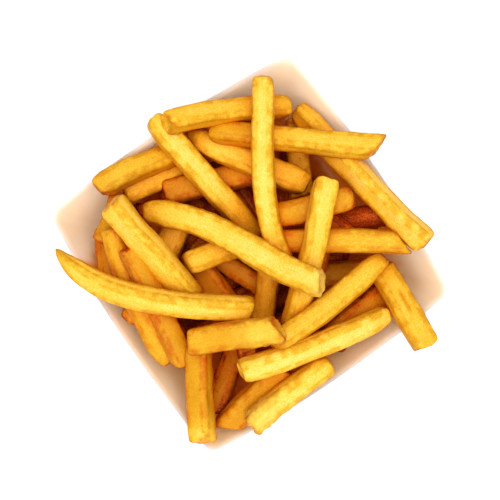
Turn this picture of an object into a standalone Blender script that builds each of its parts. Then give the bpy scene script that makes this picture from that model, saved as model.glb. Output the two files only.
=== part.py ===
"""A square white bowl heaped with French fries, at its real size.

The bowl's rim is four shallow arcs joined by small corner rounds, and every level of its wall is
that outline made smaller. The fries are laid one at a time, from the bottom of the heap to its top.
Each comes down level or slightly tilted, and bends a little, until what lies under it holds it up.
They are then joined with the core under them into one solid that stays clear of the bowl.

Lengths are in metres, with +Z up. The origin is the middle of the bowl's underside, and the bowl's
sides run along X and Y.
"""

import math
import random
from typing import NamedTuple

import bmesh
import bpy
import numpy as np

MM = 0.001

# Bowl
RIM_HALF = 59.7 * MM  # from the middle to a side's ends, inside the rim
RIM_BULGE = 3.4 * MM  # how far a side bows out at its middle
CORNER_ROUND = 5 * MM
BOWL_HEIGHT = 50 * MM
FLOOR = 6 * MM  # height of the floor inside
FLOOR_SHARE = 0.50  # floor outline as a share of the rim outline
WALL_POWER = 1.3  # above 1, the wall steepens towards the rim
RIM_THICK = 1.8 * MM
WALL_GROWTH = 2.2 * MM  # how much thicker the wall is at the floor than at the rim
LIP_ROUND = 0.6 * MM
FOOT_HEIGHT = 3 * MM
FOOT_SHARE = 0.53
FOOT_BEVEL = 0.8 * MM
WALL_LEVELS = (0.58, 0.66, 0.74, 0.82, 0.90, 0.96, 1.0)
SIDE_STEPS = 8
CORNER_STEPS = 4

# Heap
GAP = 0.5 * MM  # between the food and the bowl
CORE_RADIUS = 44 * MM
CORE_PEAK = 30 * MM
CORE_EDGE = 22 * MM
CORE_RINGS = (0.35, 0.7, 1.0)
CORE_SIDES = 32
BITE = 1.2 * MM  # how far a fry presses into what holds it
BED_BITE = 5 * MM  # how far a bottom fry is sunk into the core
TOUCH_WIDTH = 0.6  # share of a fry's width that holds and is held, so that neighbours can graze
TOUCH_ENDS = 0.06  # share of its length at each end that doesn't
BED_COUNT = 16
BED_REACH = 38 * MM
BED_WIDTH = 9 * MM
FRY_DEPTH = 0.9  # a fry's thickness as a share of its width
FRY_MOST_DEPTH = 9 * MM
FRY_CHAMFER = 0.16
MOST_SLOPE = 0.3
MOST_FLEX = 2.5 * MM  # how far a fry 70 mm long can bend up or down
SLOPE_COST = 0.1
FLEX_COST = 0.15

FRY_STATIONS = (0, 0.06, 0.26, 0.5, 0.74, 0.94, 1)
BED_STATIONS = (0, 0.06, 0.94, 1)

# How an end finishes: its size as a share of the section, the share of the length over which it
# narrows, and how much longer the left side is than the middle, as a share of the distance to it.
CUT = (0.84, 0.06, 0.0)
ROUND = (0.55, 0.16, 0.0)
POINT = (0.30, 0.38, 0.0)
LONG_LEFT = (0.84, 0.06, 0.7)
LONG_RIGHT = (0.84, 0.06, -0.7)

# The height map that fries are laid on
MAP_HALF = 110 * MM
MAP_CELL = 0.5 * MM
NOTHING = -0.2


class Fry(NamedTuple):
    """A fry seen from above, in millimetres and degrees: the middle between its ends, heading, span,
    width, sideways bow to the left, share of the bow moved towards the start, roll, and its ends."""

    x: float
    y: float
    heading: float
    span: float
    width: float
    bow: float
    lead: float
    roll: float
    start: tuple
    stop: tuple


# Bottom to top
FRIES = (
    Fry(7, 13.5, -88, 34, 8.5, 0, 0, 10, CUT, CUT),
    Fry(45.5, -13, -28, 31, 9.5, 0, 0, 0, CUT, CUT),
    Fry(36.5, -11, -73, 21, 8, 0, 0, 15, CUT, CUT),
    Fry(28.5, -30, -30, 32, 10.5, 0, 0, 0, CUT, CUT),
    Fry(-36.5, -37, -143, 34, 9.5, 0, 0, 10, CUT, CUT),
    Fry(-16, -34.5, -21, 24, 9.5, 0, 0, 0, CUT, CUT),
    Fry(-22, -46, -120, 22, 9, 0, 0, 0, CUT, CUT),
    Fry(-50.5, 31.5, -115, 26, 9, 0, 0, 0, CUT, CUT),
    Fry(-25.5, 32, -95, 21, 8.5, 0, 0, 10, CUT, CUT),
    Fry(-9, -1.5, -67, 40, 9, 0, 0, 10, CUT, CUT),
    Fry(-20.5, -3, -88, 34, 10.5, 0, 0, 15, CUT, CUT),
    Fry(-4.5, -18.5, -132, 31, 9.5, 0, 0, 0, CUT, CUT),
    Fry(11.5, -26.5, -139, 38, 10.5, 0, 0, 10, CUT, CUT),
    Fry(31.5, 1.5, -21, 36, 10.5, 0, 0, 0, CUT, ROUND),
    Fry(39.5, 21.5, -121, 34, 9.5, 0, 0, 0, CUT, CUT),
    Fry(-14.5, 48, -12, 31, 10.5, 0, 0, 5, ROUND, CUT),
    Fry(2.5, 34.5, -21, 41, 10.5, 0, 0, -10, CUT, CUT),
    Fry(-22.5, 24.5, -145, 25, 11.5, 0, 0, 0, CUT, CUT),
    Fry(-40, 43.5, -143, 20, 9, 0, 0, 0, CUT, CUT),
    Fry(-50, 8, -160, 17, 8, 0, 0, 0, CUT, CUT),
    Fry(-47, 10.5, -101, 60, 9, -3, 0, 10, CUT, ROUND),
    Fry(-43.5, 3.5, -99, 54, 9.5, 0, 0, -18, CUT, CUT),
    Fry(-11.5, 8, -13, 28, 10.5, 0, 0, 0, ROUND, CUT),
    Fry(34.5, -17.5, -35, 49, 9.5, 0.5, 0, 0, CUT, LONG_RIGHT),
    Fry(56, 1.5, -82, 77, 10.5, -1, 0, 40, ROUND, CUT),
    Fry(-48.5, -36.5, -122, 41, 10, -1, 0, 28, CUT, CUT),
    Fry(-31, -50.5, 12, 34, 11, 0, 0, 15, LONG_LEFT, CUT),
    Fry(22.5, -46.5, 5, 33, 10.5, 0, 0, 10, CUT, CUT),
    Fry(-18.5, 54.5, -8, 38, 10, 1, 0, -15, ROUND, CUT),
    Fry(21, 33, -57, 55, 11, 0, 0, -8, POINT, ROUND),
    Fry(41.5, 29, -40, 70, 9.5, -0.5, 0, -20, ROUND, LONG_LEFT),
    Fry(2, 37, -83, 64, 10, 0, 0, -14, ROUND, CUT),
    Fry(25, 52, -25, 52, 9.5, 2, 0, -20, CUT, ROUND),
    Fry(20, -13.5, -137, 62, 9.5, 1, 0, -15, CUT, CUT),
    Fry(-32.5, 22.5, -85, 52, 11, 0, 0, 35, CUT, CUT),
    Fry(40.5, -53.5, -95, 37, 11, 0, 0, -10, CUT, CUT),
    Fry(16, -34, -176, 59, 9.5, 1.5, 0, 12, ROUND, ROUND),
    Fry(-18.5, -57, 5, 42, 10, 1, 0, 20, CUT, ROUND),
    Fry(-23.5, -24, -25, 37, 11, 0, 0, 0, CUT, LONG_RIGHT),
    Fry(2, -45, -14, 65, 9.5, -1.5, 0, 18, CUT, ROUND),
    Fry(-38, 13, -51, 84, 9.5, -8.5, 0.5, 28, POINT, CUT),
    Fry(27.5, 23, -117, 77, 9, -4.5, -0.7, 8, CUT, CUT),
    Fry(-5, 6.5, -56, 79, 11, 3.5, 1.3, 0, ROUND, CUT),
)

# Where the four side arcs and the corner rounds have their middles
SIDE_RADIUS = (RIM_HALF**2 + RIM_BULGE**2) / (2 * RIM_BULGE)
SIDE_SETBACK = SIDE_RADIUS - RIM_HALF - RIM_BULGE
CORNER_REACH = SIDE_RADIUS - CORNER_ROUND
CORNER_MIDDLE = (math.sqrt(2 * CORNER_REACH**2 - SIDE_SETBACK**2) - SIDE_SETBACK) / 2
CORNER_TURN = math.atan2(CORNER_MIDDLE, CORNER_MIDDLE + SIDE_SETBACK)


def clear_scene():
    for obj in list(bpy.data.objects):
        bpy.data.objects.remove(obj, do_unlink=True)


def material(name, colour, roughness):
    made = bpy.data.materials.new(name)
    made.use_nodes = True
    shader = made.node_tree.nodes["Principled BSDF"]
    shader.inputs["Base Color"].default_value = (*colour, 1)
    shader.inputs["Roughness"].default_value = roughness
    shader.inputs["Metallic"].default_value = 0
    return made


def new_object(name, mesh, finish):
    obj = bpy.data.objects.new(name, mesh)
    bpy.context.scene.collection.objects.link(obj)
    obj.data.materials.append(finish)
    return obj


# Bowl outline


def rim_outline():
    """Points round the inside of the rim, anticlockwise, as an array of x and y."""
    points = []
    for quarter in range(4):
        turn = quarter * math.pi / 2
        along, across = math.cos(turn), math.sin(turn)
        for step in range(SIDE_STEPS):
            angle = CORNER_TURN * (2 * step / SIDE_STEPS - 1)
            x = SIDE_RADIUS * math.cos(angle) - SIDE_SETBACK
            y = SIDE_RADIUS * math.sin(angle)
            points.append((x * along - y * across, x * across + y * along))
        for step in range(CORNER_STEPS):
            angle = CORNER_TURN + (math.pi / 2 - 2 * CORNER_TURN) * step / CORNER_STEPS
            x = CORNER_MIDDLE + CORNER_ROUND * math.cos(angle)
            y = CORNER_MIDDLE + CORNER_ROUND * math.sin(angle)
            points.append((x * along - y * across, x * across + y * along))
    return np.array(points)


def rim_reach(x, y):
    """Distance from the middle to the inside of the rim, in the direction of each point."""
    far = np.maximum(np.abs(x), np.abs(y))
    near = np.minimum(np.abs(x), np.abs(y))
    distance = np.hypot(far, near) + 1e-12
    far = far / distance
    near = near / distance
    side = np.sqrt((SIDE_SETBACK * far) ** 2 - SIDE_SETBACK**2 + SIDE_RADIUS**2) - SIDE_SETBACK * far
    middle = CORNER_MIDDLE * (far + near)
    spread = middle**2 - 2 * CORNER_MIDDLE**2 + CORNER_ROUND**2
    corner = middle + np.sqrt(np.maximum(spread, 0))
    end_x = SIDE_RADIUS * math.cos(CORNER_TURN) - SIDE_SETBACK
    end_y = SIDE_RADIUS * math.sin(CORNER_TURN)
    return np.where(near * end_x < far * end_y, side, corner)


def wall_height(share):
    """Height of the inside of the bowl where the outline is this share of the rim's."""
    climb = np.clip((share - FLOOR_SHARE) / (1 - FLOOR_SHARE), 0, None)
    return FLOOR + (BOWL_HEIGHT - FLOOR) * climb**WALL_POWER


def outer_level(share):
    """The outline's share and height outside the wall, opposite the inside at this share."""
    middle = RIM_HALF + RIM_BULGE
    climb = (share - FLOOR_SHARE) / (1 - FLOOR_SHARE)
    run = middle * (1 - FLOOR_SHARE)
    slope = (BOWL_HEIGHT - FLOOR) * WALL_POWER * climb ** (WALL_POWER - 1) / run
    lean = math.atan(slope)
    thick = RIM_THICK + WALL_GROWTH * (1 - climb)
    return share + thick * math.sin(lean) / middle, wall_height(share) - thick * math.cos(lean)


# Bowl


def bowl_levels():
    """(share of the rim outline, height) from the underside up the outside, over the lip and down."""
    middle = RIM_HALF + RIM_BULGE
    levels = [(FOOT_SHARE - FOOT_BEVEL / middle, 0.0)]
    levels.append((FOOT_SHARE, FOOT_BEVEL))
    levels.append((FOOT_SHARE, FOOT_HEIGHT))
    levels += [outer_level(share) for share in WALL_LEVELS[1:-1]]
    levels.append((1 + RIM_THICK / middle, BOWL_HEIGHT - LIP_ROUND))
    levels.append((1 + (RIM_THICK - LIP_ROUND) / middle, BOWL_HEIGHT))
    levels.append((1 + LIP_ROUND / middle, BOWL_HEIGHT))
    levels.append((1.0, BOWL_HEIGHT - LIP_ROUND))
    levels += [(share, wall_height(share)) for share in reversed(WALL_LEVELS[:-1])]
    levels.append((FLOOR_SHARE, FLOOR))
    return levels


def bridged_mesh(name, loops):
    """A closed mesh of loops of equal length, each joined to the next, with the first and last filled."""
    bm = bmesh.new()
    rings = [[bm.verts.new(point) for point in loop] for loop in loops]
    sides = len(rings[0])
    for low, high in zip(rings, rings[1:]):
        for i in range(sides):
            j = (i + 1) % sides
            bm.faces.new((low[i], low[j], high[j], high[i]))
    bm.faces.new(list(reversed(rings[0])))
    bm.faces.new(rings[-1])
    bmesh.ops.recalc_face_normals(bm, faces=bm.faces)
    mesh = bpy.data.meshes.new(name)
    bm.to_mesh(mesh)
    bm.free()
    return mesh


def make_bowl():
    outline = rim_outline()
    loops = []
    for share, height in bowl_levels():
        loops.append([(x * share, y * share, height) for x, y in outline])
    mesh = bridged_mesh("bowl", loops)
    mesh.shade_smooth()
    mesh.set_sharp_from_angle(angle=math.radians(50))
    return new_object("bowl", mesh, material("white glaze", (0.90, 0.89, 0.87), 0.12))


# The map that the fries are laid on


def seat_height(x, y):
    """The lowest that food may come at each point: the bowl's inside and rim, with the gap."""
    reach = rim_reach(x, y)
    distance = np.hypot(x, y)
    height = wall_height((distance + GAP) / reach)
    height = np.where(distance > reach - GAP, BOWL_HEIGHT, height)
    height = np.where(distance > reach + RIM_THICK + GAP, NOTHING, height)
    return height + GAP


def core_height(x, y):
    share = np.hypot(x, y) / CORE_RADIUS
    return np.where(share < 1, CORE_PEAK - (CORE_PEAK - CORE_EDGE) * share**2, NOTHING)


class HeapMap:
    """The heights of the bowl and of the food laid so far, on a grid seen from above."""

    def __init__(self):
        cells = int(2 * MAP_HALF / MAP_CELL)
        line = (np.arange(cells) + 0.5) * MAP_CELL - MAP_HALF
        x, y = np.meshgrid(line, line, indexing="ij")
        self.bowl = seat_height(x, y)
        self.food = core_height(x, y)

    def cell(self, points):
        return tuple(((points[..., axis] + MAP_HALF) / MAP_CELL).astype(int) for axis in (0, 1))

    def floor_under(self, points, bite):
        here = self.cell(points)
        return np.maximum(self.food[here] - bite, self.bowl[here])

    def add(self, points):
        np.maximum.at(self.food, self.cell(points), points[..., 2])


# Fries


def section(width, depth, roll, per_side=1):
    """Points round a chamfered rectangle turned by its roll: to the left, and up."""
    cut = FRY_CHAMFER * min(width, depth)
    a, b = width / 2, depth / 2
    corners = [(a, cut - b), (a, b - cut), (a - cut, b), (cut - a, b)]
    corners += [(-x, -y) for x, y in corners]
    points = []
    for (x0, y0), (x1, y1) in zip(corners, corners[1:] + corners[:1]):
        for step in range(per_side):
            part = step / per_side
            points.append((x0 + (x1 - x0) * part, y0 + (y1 - y0) * part))
    points = np.array(points)
    turn = math.radians(roll)
    left = points[:, 0] * math.cos(turn) - points[:, 1] * math.sin(turn)
    up = points[:, 0] * math.sin(turn) + points[:, 1] * math.cos(turn)
    return left, up


def end_size(along, fry):
    """The section's size at each share of the length, from 1 down to the size of each end."""
    size = np.ones_like(along)
    for distance, (least, run, _) in ((along, fry.start), (1 - along, fry.stop)):
        near = 1 - np.clip(distance / run, 0, 1)
        size = size * (least + (1 - least) * np.sqrt(1 - near**2))
    return size


def end_slide(along, fry, left):
    """How far points near a slanted end slide along the fry."""
    slide = np.zeros((len(along), len(left)))
    for distance, end, outwards in ((along, fry.start, -1), (1 - along, fry.stop, 1)):
        near = np.clip(1 - distance / 0.12, 0, 1)
        slide += outwards * end[2] * near[:, None] * left
    return slide


def fry_skin(fry, height, slope, flex, along, per_side=1, share=1.0):
    """Points on a fry's skin, by share of the length and round a share of the section's width."""
    span = fry.span * MM
    width = fry.width * MM
    depth = min(FRY_DEPTH * width, FRY_MOST_DEPTH)
    left, up = section(share * width, depth, fry.roll, per_side)
    arc = 4 * along * (1 - along)
    out = (along - 0.5) * span
    aside = fry.bow * MM * arc * (1 + fry.lead * (1 - 2 * along))
    heading = math.radians(fry.heading)
    middle = np.stack(
        (
            fry.x * MM + out * math.cos(heading) - aside * math.sin(heading),
            fry.y * MM + out * math.sin(heading) + aside * math.cos(heading),
            height + slope * out + flex * (arc - 2 / 3),
        ),
        axis=1,
    )
    forward = np.gradient(middle, along, axis=0)
    forward /= np.linalg.norm(forward, axis=1, keepdims=True)
    leftward = np.cross((0, 0, 1), forward)
    leftward /= np.linalg.norm(leftward, axis=1, keepdims=True)
    upward = np.cross(forward, leftward)
    flat = left[:, None] * leftward[:, None, :] + up[:, None] * upward[:, None, :]
    middle = middle[:, None, :] + end_slide(along, fry, left)[:, :, None] * forward[:, None, :]
    return middle + end_size(along, fry)[:, None, None] * flat


def settle(heap, fry, bite):
    """Lower a fry until it is held up. Returns the height of its middle, its slope and its flex."""
    span = fry.span * MM
    along = np.linspace(TOUCH_ENDS, 1 - TOUCH_ENDS, 41)
    out = (along - 0.5) * span
    arc = 4 * along * (1 - along) - 2 / 3
    most_flex = MOST_FLEX * (span / 0.07) ** 2
    slopes = np.linspace(-MOST_SLOPE, MOST_SLOPE, 73)
    height, slope, flex = BOWL_HEIGHT, 0.0, 0.0
    for _ in range(5):
        points = fry_skin(fry, height, slope, flex, along, 5, TOUCH_WIDTH)
        raise_by = (heap.floor_under(points, bite) - points[..., 2]).max(axis=1)
        choices = []
        for new_flex in np.linspace(-most_flex, most_flex, 9):
            bent = raise_by - (new_flex - flex) * arc
            lift = (bent - (slopes[:, None] - slope) * out).max(axis=1)
            cost = lift + SLOPE_COST * np.abs(slopes) * span / 2 + FLEX_COST * abs(new_flex)
            best = int(np.argmin(cost))
            choices.append((cost[best], lift[best], slopes[best], new_flex))
        _, lift, slope, flex = min(choices)
        height += lift
    points = fry_skin(fry, height, slope, flex, along, 5, TOUCH_WIDTH)
    height += max(0.0, (heap.floor_under(points, bite) - points[..., 2]).max())
    points = fry_skin(fry, height, slope, flex, np.linspace(0, 1, 61), 5)
    height += max(0.0, (heap.bowl[heap.cell(points)] - points[..., 2]).max())
    return height, slope, flex


def dense_skin(fry, pose):
    along = np.linspace(TOUCH_ENDS, 1 - TOUCH_ENDS, int(fry.span / 0.35))
    return fry_skin(fry, *pose, along, 10, TOUCH_WIDTH)


def bed_fries():
    """The bottom fries, spread over the core in a spiral and turned at random."""
    rng = random.Random(5)
    bed = []
    for i in range(BED_COUNT):
        turn = i * math.pi * (3 - math.sqrt(5))
        reach = BED_REACH / MM * math.sqrt((i + 0.5) / BED_COUNT)
        x, y = reach * math.cos(turn), reach * math.sin(turn)
        heading = rng.uniform(0, 180)
        span = rng.uniform(34, 50)
        bow = rng.uniform(-2, 2)
        roll = rng.uniform(-20, 20)
        bed.append(Fry(x, y, heading, span, BED_WIDTH / MM, bow, 0, roll, CUT, CUT))
    return bed


def laid_fries():
    """Every fry with its pose and its stations, bottom to top."""
    heap = HeapMap()
    bed = [(fry, settle(heap, fry, BED_BITE)) for fry in bed_fries()]
    for fry, pose in bed:
        heap.add(dense_skin(fry, pose))
    laid = [(fry, pose, BED_STATIONS) for fry, pose in bed]
    for fry in FRIES:
        pose = settle(heap, fry, BITE)
        heap.add(dense_skin(fry, pose))
        laid.append((fry, pose, FRY_STATIONS))
    return laid


def core_mesh():
    """A round mound that follows the bowl below and is domed above."""
    angles = np.arange(CORE_SIDES) * 2 * math.pi / CORE_SIDES
    loops = []
    for share in CORE_RINGS:
        x = CORE_RADIUS * share * np.cos(angles)
        y = CORE_RADIUS * share * np.sin(angles)
        loops.append(list(zip(x, y, seat_height(x, y))))
    for share in reversed(CORE_RINGS):
        x = CORE_RADIUS * share * np.cos(angles)
        y = CORE_RADIUS * share * np.sin(angles)
        top = CORE_PEAK - (CORE_PEAK - CORE_EDGE) * share**2
        loops.append([(a, b, top) for a, b in zip(x, y)])
    return bridged_mesh("core", loops)


def keep_outer_shell(mesh):
    """Drop loose scraps and the walls of sealed hollows, and keep the largest shell."""
    bm = bmesh.new()
    bm.from_mesh(mesh)
    left = set(bm.verts)
    shells = []
    while left:
        shell = {left.pop()}
        edge = list(shell)
        while edge:
            near = {e.other_vert(v) for v in edge for e in v.link_edges} - shell
            shell |= near
            edge = list(near)
        left -= shell
        shells.append(shell)
    largest = max(shells, key=len)
    bmesh.ops.delete(bm, geom=[v for v in bm.verts if v not in largest], context="VERTS")
    bmesh.ops.triangulate(bm, faces=bm.faces)
    bm.to_mesh(mesh)
    bm.free()


def make_heap():
    """The core and every fry, joined by one Boolean union."""
    finish = material("golden crust", (0.85, 0.48, 0.07), 0.5)
    pieces = bpy.data.collections.new("heap pieces")
    bpy.context.scene.collection.children.link(pieces)
    for number, (fry, pose, stations) in enumerate(laid_fries()):
        skin = fry_skin(fry, *pose, np.array(stations, float))
        piece = bpy.data.objects.new(f"piece {number}", bridged_mesh("piece", skin.tolist()))
        pieces.objects.link(piece)
    heap = new_object("fries", core_mesh(), finish)
    join = heap.modifiers.new("join", "BOOLEAN")
    join.operation = "UNION"
    join.operand_type = "COLLECTION"
    join.collection = pieces
    join.solver = "MANIFOLD"
    bpy.context.view_layer.update()
    joined = bpy.data.meshes.new_from_object(heap.evaluated_get(bpy.context.evaluated_depsgraph_get()))
    heap.modifiers.clear()
    heap.data = joined
    for piece in list(pieces.objects):
        bpy.data.objects.remove(piece, do_unlink=True)
    bpy.data.collections.remove(pieces)
    keep_outer_shell(heap.data)
    heap.data.materials.clear()
    heap.data.materials.append(finish)
    return heap


def main():
    clear_scene()
    make_bowl()
    make_heap()


main()
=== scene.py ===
"""A square white bowl heaped with French fries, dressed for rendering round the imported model.

The fries are laid again as the solids lay them, from the bottom of the heap to its top, and each is
then built at full detail: rounded edges, faces that swell and sink, dents, blisters and worn ends.
Fries of one tone make one piece. The bowl is built again with a round lip and a ring foot.

Lengths are in metres, with +Z up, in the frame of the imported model.
"""

import logging
import math
import random
from dataclasses import dataclass, field
from enum import Enum

import bpy
import numpy as np
from mathutils import Euler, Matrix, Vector


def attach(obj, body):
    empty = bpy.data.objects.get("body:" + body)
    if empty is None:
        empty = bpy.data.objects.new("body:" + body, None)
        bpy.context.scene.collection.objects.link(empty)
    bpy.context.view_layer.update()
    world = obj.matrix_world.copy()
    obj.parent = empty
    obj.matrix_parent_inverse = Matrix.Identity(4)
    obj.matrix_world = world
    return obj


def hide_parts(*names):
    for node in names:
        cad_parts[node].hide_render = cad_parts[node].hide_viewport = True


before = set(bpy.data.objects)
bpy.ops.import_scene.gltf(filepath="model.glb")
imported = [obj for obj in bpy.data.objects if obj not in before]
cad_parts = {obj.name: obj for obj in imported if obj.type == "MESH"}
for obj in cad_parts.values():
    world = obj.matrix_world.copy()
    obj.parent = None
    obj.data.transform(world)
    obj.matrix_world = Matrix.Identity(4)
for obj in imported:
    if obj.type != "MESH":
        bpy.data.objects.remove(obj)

log = logging.getLogger("fries")

MM = 0.001
NOTHING = -0.2  # the height of a place where nothing lies
GAP = 0.5 * MM  # between the food and the bowl
TINY = 1e-12  # keeps a division from being by nothing

Colour = tuple[float, float, float, float]


def srgb(red: float, green: float, blue: float) -> Colour:
    """Turn a colour of 0 to 255 into the linear one that a shader takes.

    Args:
        red, green, blue: The colour as a screen shows it.

    Returns:
        The linear colour with an alpha of 1.
    """
    parts = [value / 255 for value in (red, green, blue)]
    linear = [p / 12.92 if p <= 0.04045 else ((p + 0.055) / 1.055) ** 2.4 for p in parts]
    return (*linear, 1.0)


def smooth(value: np.ndarray, low: float, high: float) -> np.ndarray:
    """Ease from 0 to 1 while a value goes from low to high.

    Args:
        value: The values.
        low: Where the result leaves 0.
        high: Where it gets to 1.

    Returns:
        The eased values.
    """
    part = np.clip((value - low) / (high - low), 0, 1)
    return part * part * (3 - 2 * part)


class Noise:
    """Smooth random values in space, from a seeded lattice."""

    CELLS = 32

    def __init__(self, seed: int) -> None:
        """Draw the lattice from a seed."""
        self.table = np.random.default_rng(seed).random((self.CELLS,) * 3) * 2 - 1

    def at(self, points: np.ndarray, size: float | tuple[float, float, float]) -> np.ndarray:
        """Read the noise.

        Args:
            points: Places, with x, y and z on the last axis.
            size: How large a lump is, along every axis or along each.

        Returns:
            A value from -1 to 1 at each place.
        """
        scaled = points / np.asarray(size)
        cell = np.floor(scaled).astype(int)
        part = scaled - cell
        part = part * part * (3 - 2 * part)
        total = np.zeros(points.shape[:-1])
        for corner in range(8):
            step = np.array([corner & 1, corner >> 1 & 1, corner >> 2 & 1])
            weight = np.where(step, part, 1 - part).prod(axis=-1)
            at = (cell + step) % self.CELLS
            total += weight * self.table[at[..., 0], at[..., 1], at[..., 2]]
        return total


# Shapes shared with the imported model


@dataclass(frozen=True)
class RimOutline:
    """The line round the inside of the rim: four shallow arcs joined by corner rounds."""

    half: float = 59.7 * MM
    bulge: float = 3.4 * MM
    corner: float = 5 * MM

    @property
    def middle(self) -> float:
        """Distance from the bowl's middle to the middle of a side."""
        return self.half + self.bulge

    @property
    def radius(self) -> float:
        """Radius of a side's arc."""
        return (self.half**2 + self.bulge**2) / (2 * self.bulge)

    @property
    def setback(self) -> float:
        """How far a side's arc has its centre beyond the bowl's middle."""
        return self.radius - self.middle

    @property
    def corner_middle(self) -> float:
        """The x and y of a corner round's centre."""
        reach = self.radius - self.corner
        return (math.sqrt(2 * reach**2 - self.setback**2) - self.setback) / 2

    @property
    def corner_turn(self) -> float:
        """The angle on a side's arc at which the corner round takes over."""
        return math.atan2(self.corner_middle, self.corner_middle + self.setback)

    def points(self, side_steps: int, corner_steps: int) -> np.ndarray:
        """Walk round the outline anticlockwise.

        Args:
            side_steps: Steps along each side.
            corner_steps: Steps round each corner.

        Returns:
            An array of x and y.
        """
        turn = self.corner_turn
        side = turn * (2 * np.arange(side_steps) / side_steps - 1)
        round_ = turn + (math.pi / 2 - 2 * turn) * np.arange(corner_steps) / corner_steps
        x = np.concatenate((self.radius * np.cos(side) - self.setback,
                            self.corner_middle + self.corner * np.cos(round_)))
        y = np.concatenate((self.radius * np.sin(side),
                            self.corner_middle + self.corner * np.sin(round_)))
        quarters = []
        for quarter in range(4):
            along, across = math.cos(quarter * math.pi / 2), math.sin(quarter * math.pi / 2)
            quarters.append(np.stack((x * along - y * across, x * across + y * along), axis=1))
        return np.concatenate(quarters)

    def reach(self, x: np.ndarray, y: np.ndarray) -> np.ndarray:
        """Measure from the middle to the outline in the direction of each point.

        Args:
            x, y: The points.

        Returns:
            The distances.
        """
        far = np.maximum(np.abs(x), np.abs(y))
        near = np.minimum(np.abs(x), np.abs(y))
        distance = np.hypot(far, near) + TINY
        far = far / distance
        near = near / distance
        back = self.setback
        side = np.sqrt((back * far) ** 2 - back**2 + self.radius**2) - back * far
        middle = self.corner_middle * (far + near)
        spread = middle**2 - 2 * self.corner_middle**2 + self.corner**2
        corner = middle + np.sqrt(np.maximum(spread, 0))
        end_x = self.radius * math.cos(self.corner_turn) - back
        end_y = self.radius * math.sin(self.corner_turn)
        return np.where(near * end_x < far * end_y, side, corner)


@dataclass(frozen=True)
class BowlProfile:
    """How the bowl's wall climbs. A share is the outline's size beside the rim's."""

    outline: RimOutline = RimOutline()
    height: float = 50 * MM
    floor: float = 6 * MM
    floor_share: float = 0.50
    power: float = 1.3
    rim_thick: float = 1.8 * MM
    growth: float = 2.2 * MM

    def inside(self, share: np.ndarray) -> np.ndarray:
        """Height of the inside where the outline has this share."""
        climb = np.clip((share - self.floor_share) / (1 - self.floor_share), 0, None)
        return self.floor + (self.height - self.floor) * climb**self.power

    def outside(self, share: float) -> tuple[float, float]:
        """Find the point outside the wall that lies opposite one inside.

        Args:
            share: The share of the point inside.

        Returns:
            The share and the height of the point outside.
        """
        middle = self.outline.middle
        climb = (share - self.floor_share) / (1 - self.floor_share)
        run = middle * (1 - self.floor_share)
        slope = (self.height - self.floor) * self.power * climb ** (self.power - 1) / run
        lean = math.atan(slope)
        thick = self.rim_thick + self.growth * (1 - climb)
        low = float(self.inside(np.float64(share))) - thick * math.cos(lean)
        return share + thick * math.sin(lean) / middle, low

    def seat(self, x: np.ndarray, y: np.ndarray) -> np.ndarray:
        """Find the lowest that food may come.

        Args:
            x, y: Places seen from above.

        Returns:
            The height of the bowl there, with the gap.
        """
        reach = self.outline.reach(x, y)
        distance = np.hypot(x, y)
        height = self.inside((distance + GAP) / reach)
        height = np.where(distance > reach - GAP, self.height, height)
        height = np.where(distance > reach + self.rim_thick + GAP, NOTHING, height)
        return height + GAP


class End(Enum):
    """How a fry's end finishes.

    The numbers are its size beside the section, the share of the length over which it narrows, how
    much longer the left side is, and the radius of its worn edge.
    """

    CUT = (0.84, 0.06, 0.0, 0.8 * MM)
    ROUND = (0.55, 0.16, 0.0, 1.4 * MM)
    POINT = (0.30, 0.38, 0.0, 1.0 * MM)
    LONG_LEFT = (0.84, 0.06, 0.7, 0.8 * MM)
    LONG_RIGHT = (0.84, 0.06, -0.7, 0.8 * MM)

    @property
    def least(self) -> float:
        """Size of the end beside the section."""
        return self.value[0]

    @property
    def run(self) -> float:
        """Share of the length over which it narrows."""
        return self.value[1]

    @property
    def slant(self) -> float:
        """How much longer the left side is than the middle, as a share of the distance to it."""
        return self.value[2]

    @property
    def worn(self) -> float:
        """Radius of the worn edge round the cut."""
        return self.value[3]


class Tone(Enum):
    """How far fries are fried, from 0 to 1."""

    PALE = 0.11
    GOLDEN = 0.26
    AMBER = 0.36
    DEEP = 0.42
    # Buried fries are darker than the laid ones as painted shade deep in the heap.
    BURIED = 0.56


class Mark(Enum):
    """What sets a fry apart."""

    NONE = "none"
    ROUGH_START = "knobbly skin towards the start"
    ROUGH_STOP = "frayed skin towards the stop"
    FLAKED_STOP = "flakes of starch on the stop"
    PALE_STOP = "a pale stop"
    # The start is painted darker as the shadow of the fry that crosses over it.
    SHADOWED_START = "fried further towards the start"
    GROOVE = "a short groove along the middle"
    RIDGE = "a ridge along the middle"


@dataclass(frozen=True)
class Fry:
    """A fry seen from above, in millimetres and degrees.

    The numbers are the middle between its ends, heading, span, width, sideways bow to the left,
    share of the bow moved towards the start, and roll. Its ends, its tone, how much darker it is
    painted than that tone, and what sets it apart follow. The tone and that shade are partly how
    far it is fried and partly painted shade for fries lying low and painted light for some in
    shade.
    """

    x: float
    y: float
    heading: float
    span: float
    width: float
    bow: float
    lead: float
    roll: float
    start: End
    stop: End
    tone: Tone
    # Partly frying, partly painted shade and painted light for where the fry lies.
    shade: float = 0.0
    mark: Mark = Mark.NONE

    DEPTH = 0.9
    MOST_DEPTH = 9 * MM
    CHAMFER = 0.16
    SLANT_RUN = 0.12  # share of the length over which a slanted end turns square

    @property
    def depth(self) -> float:
        """Thickness in metres."""
        return min(self.DEPTH * self.width * MM, self.MOST_DEPTH)

    def ends(self, along: np.ndarray) -> tuple[tuple[np.ndarray, End, int], ...]:
        """Look along the fry from each end.

        Args:
            along: Shares of its length.

        Returns:
            For each end the shares measured from it, its kind, and the sign of the way outwards.
        """
        return (along, self.start, -1), (1 - along, self.stop, 1)


CUT, ROUND, POINT = End.CUT, End.ROUND, End.POINT
PALE, GOLDEN, AMBER, DEEP = Tone.PALE, Tone.GOLDEN, Tone.AMBER, Tone.DEEP

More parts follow.
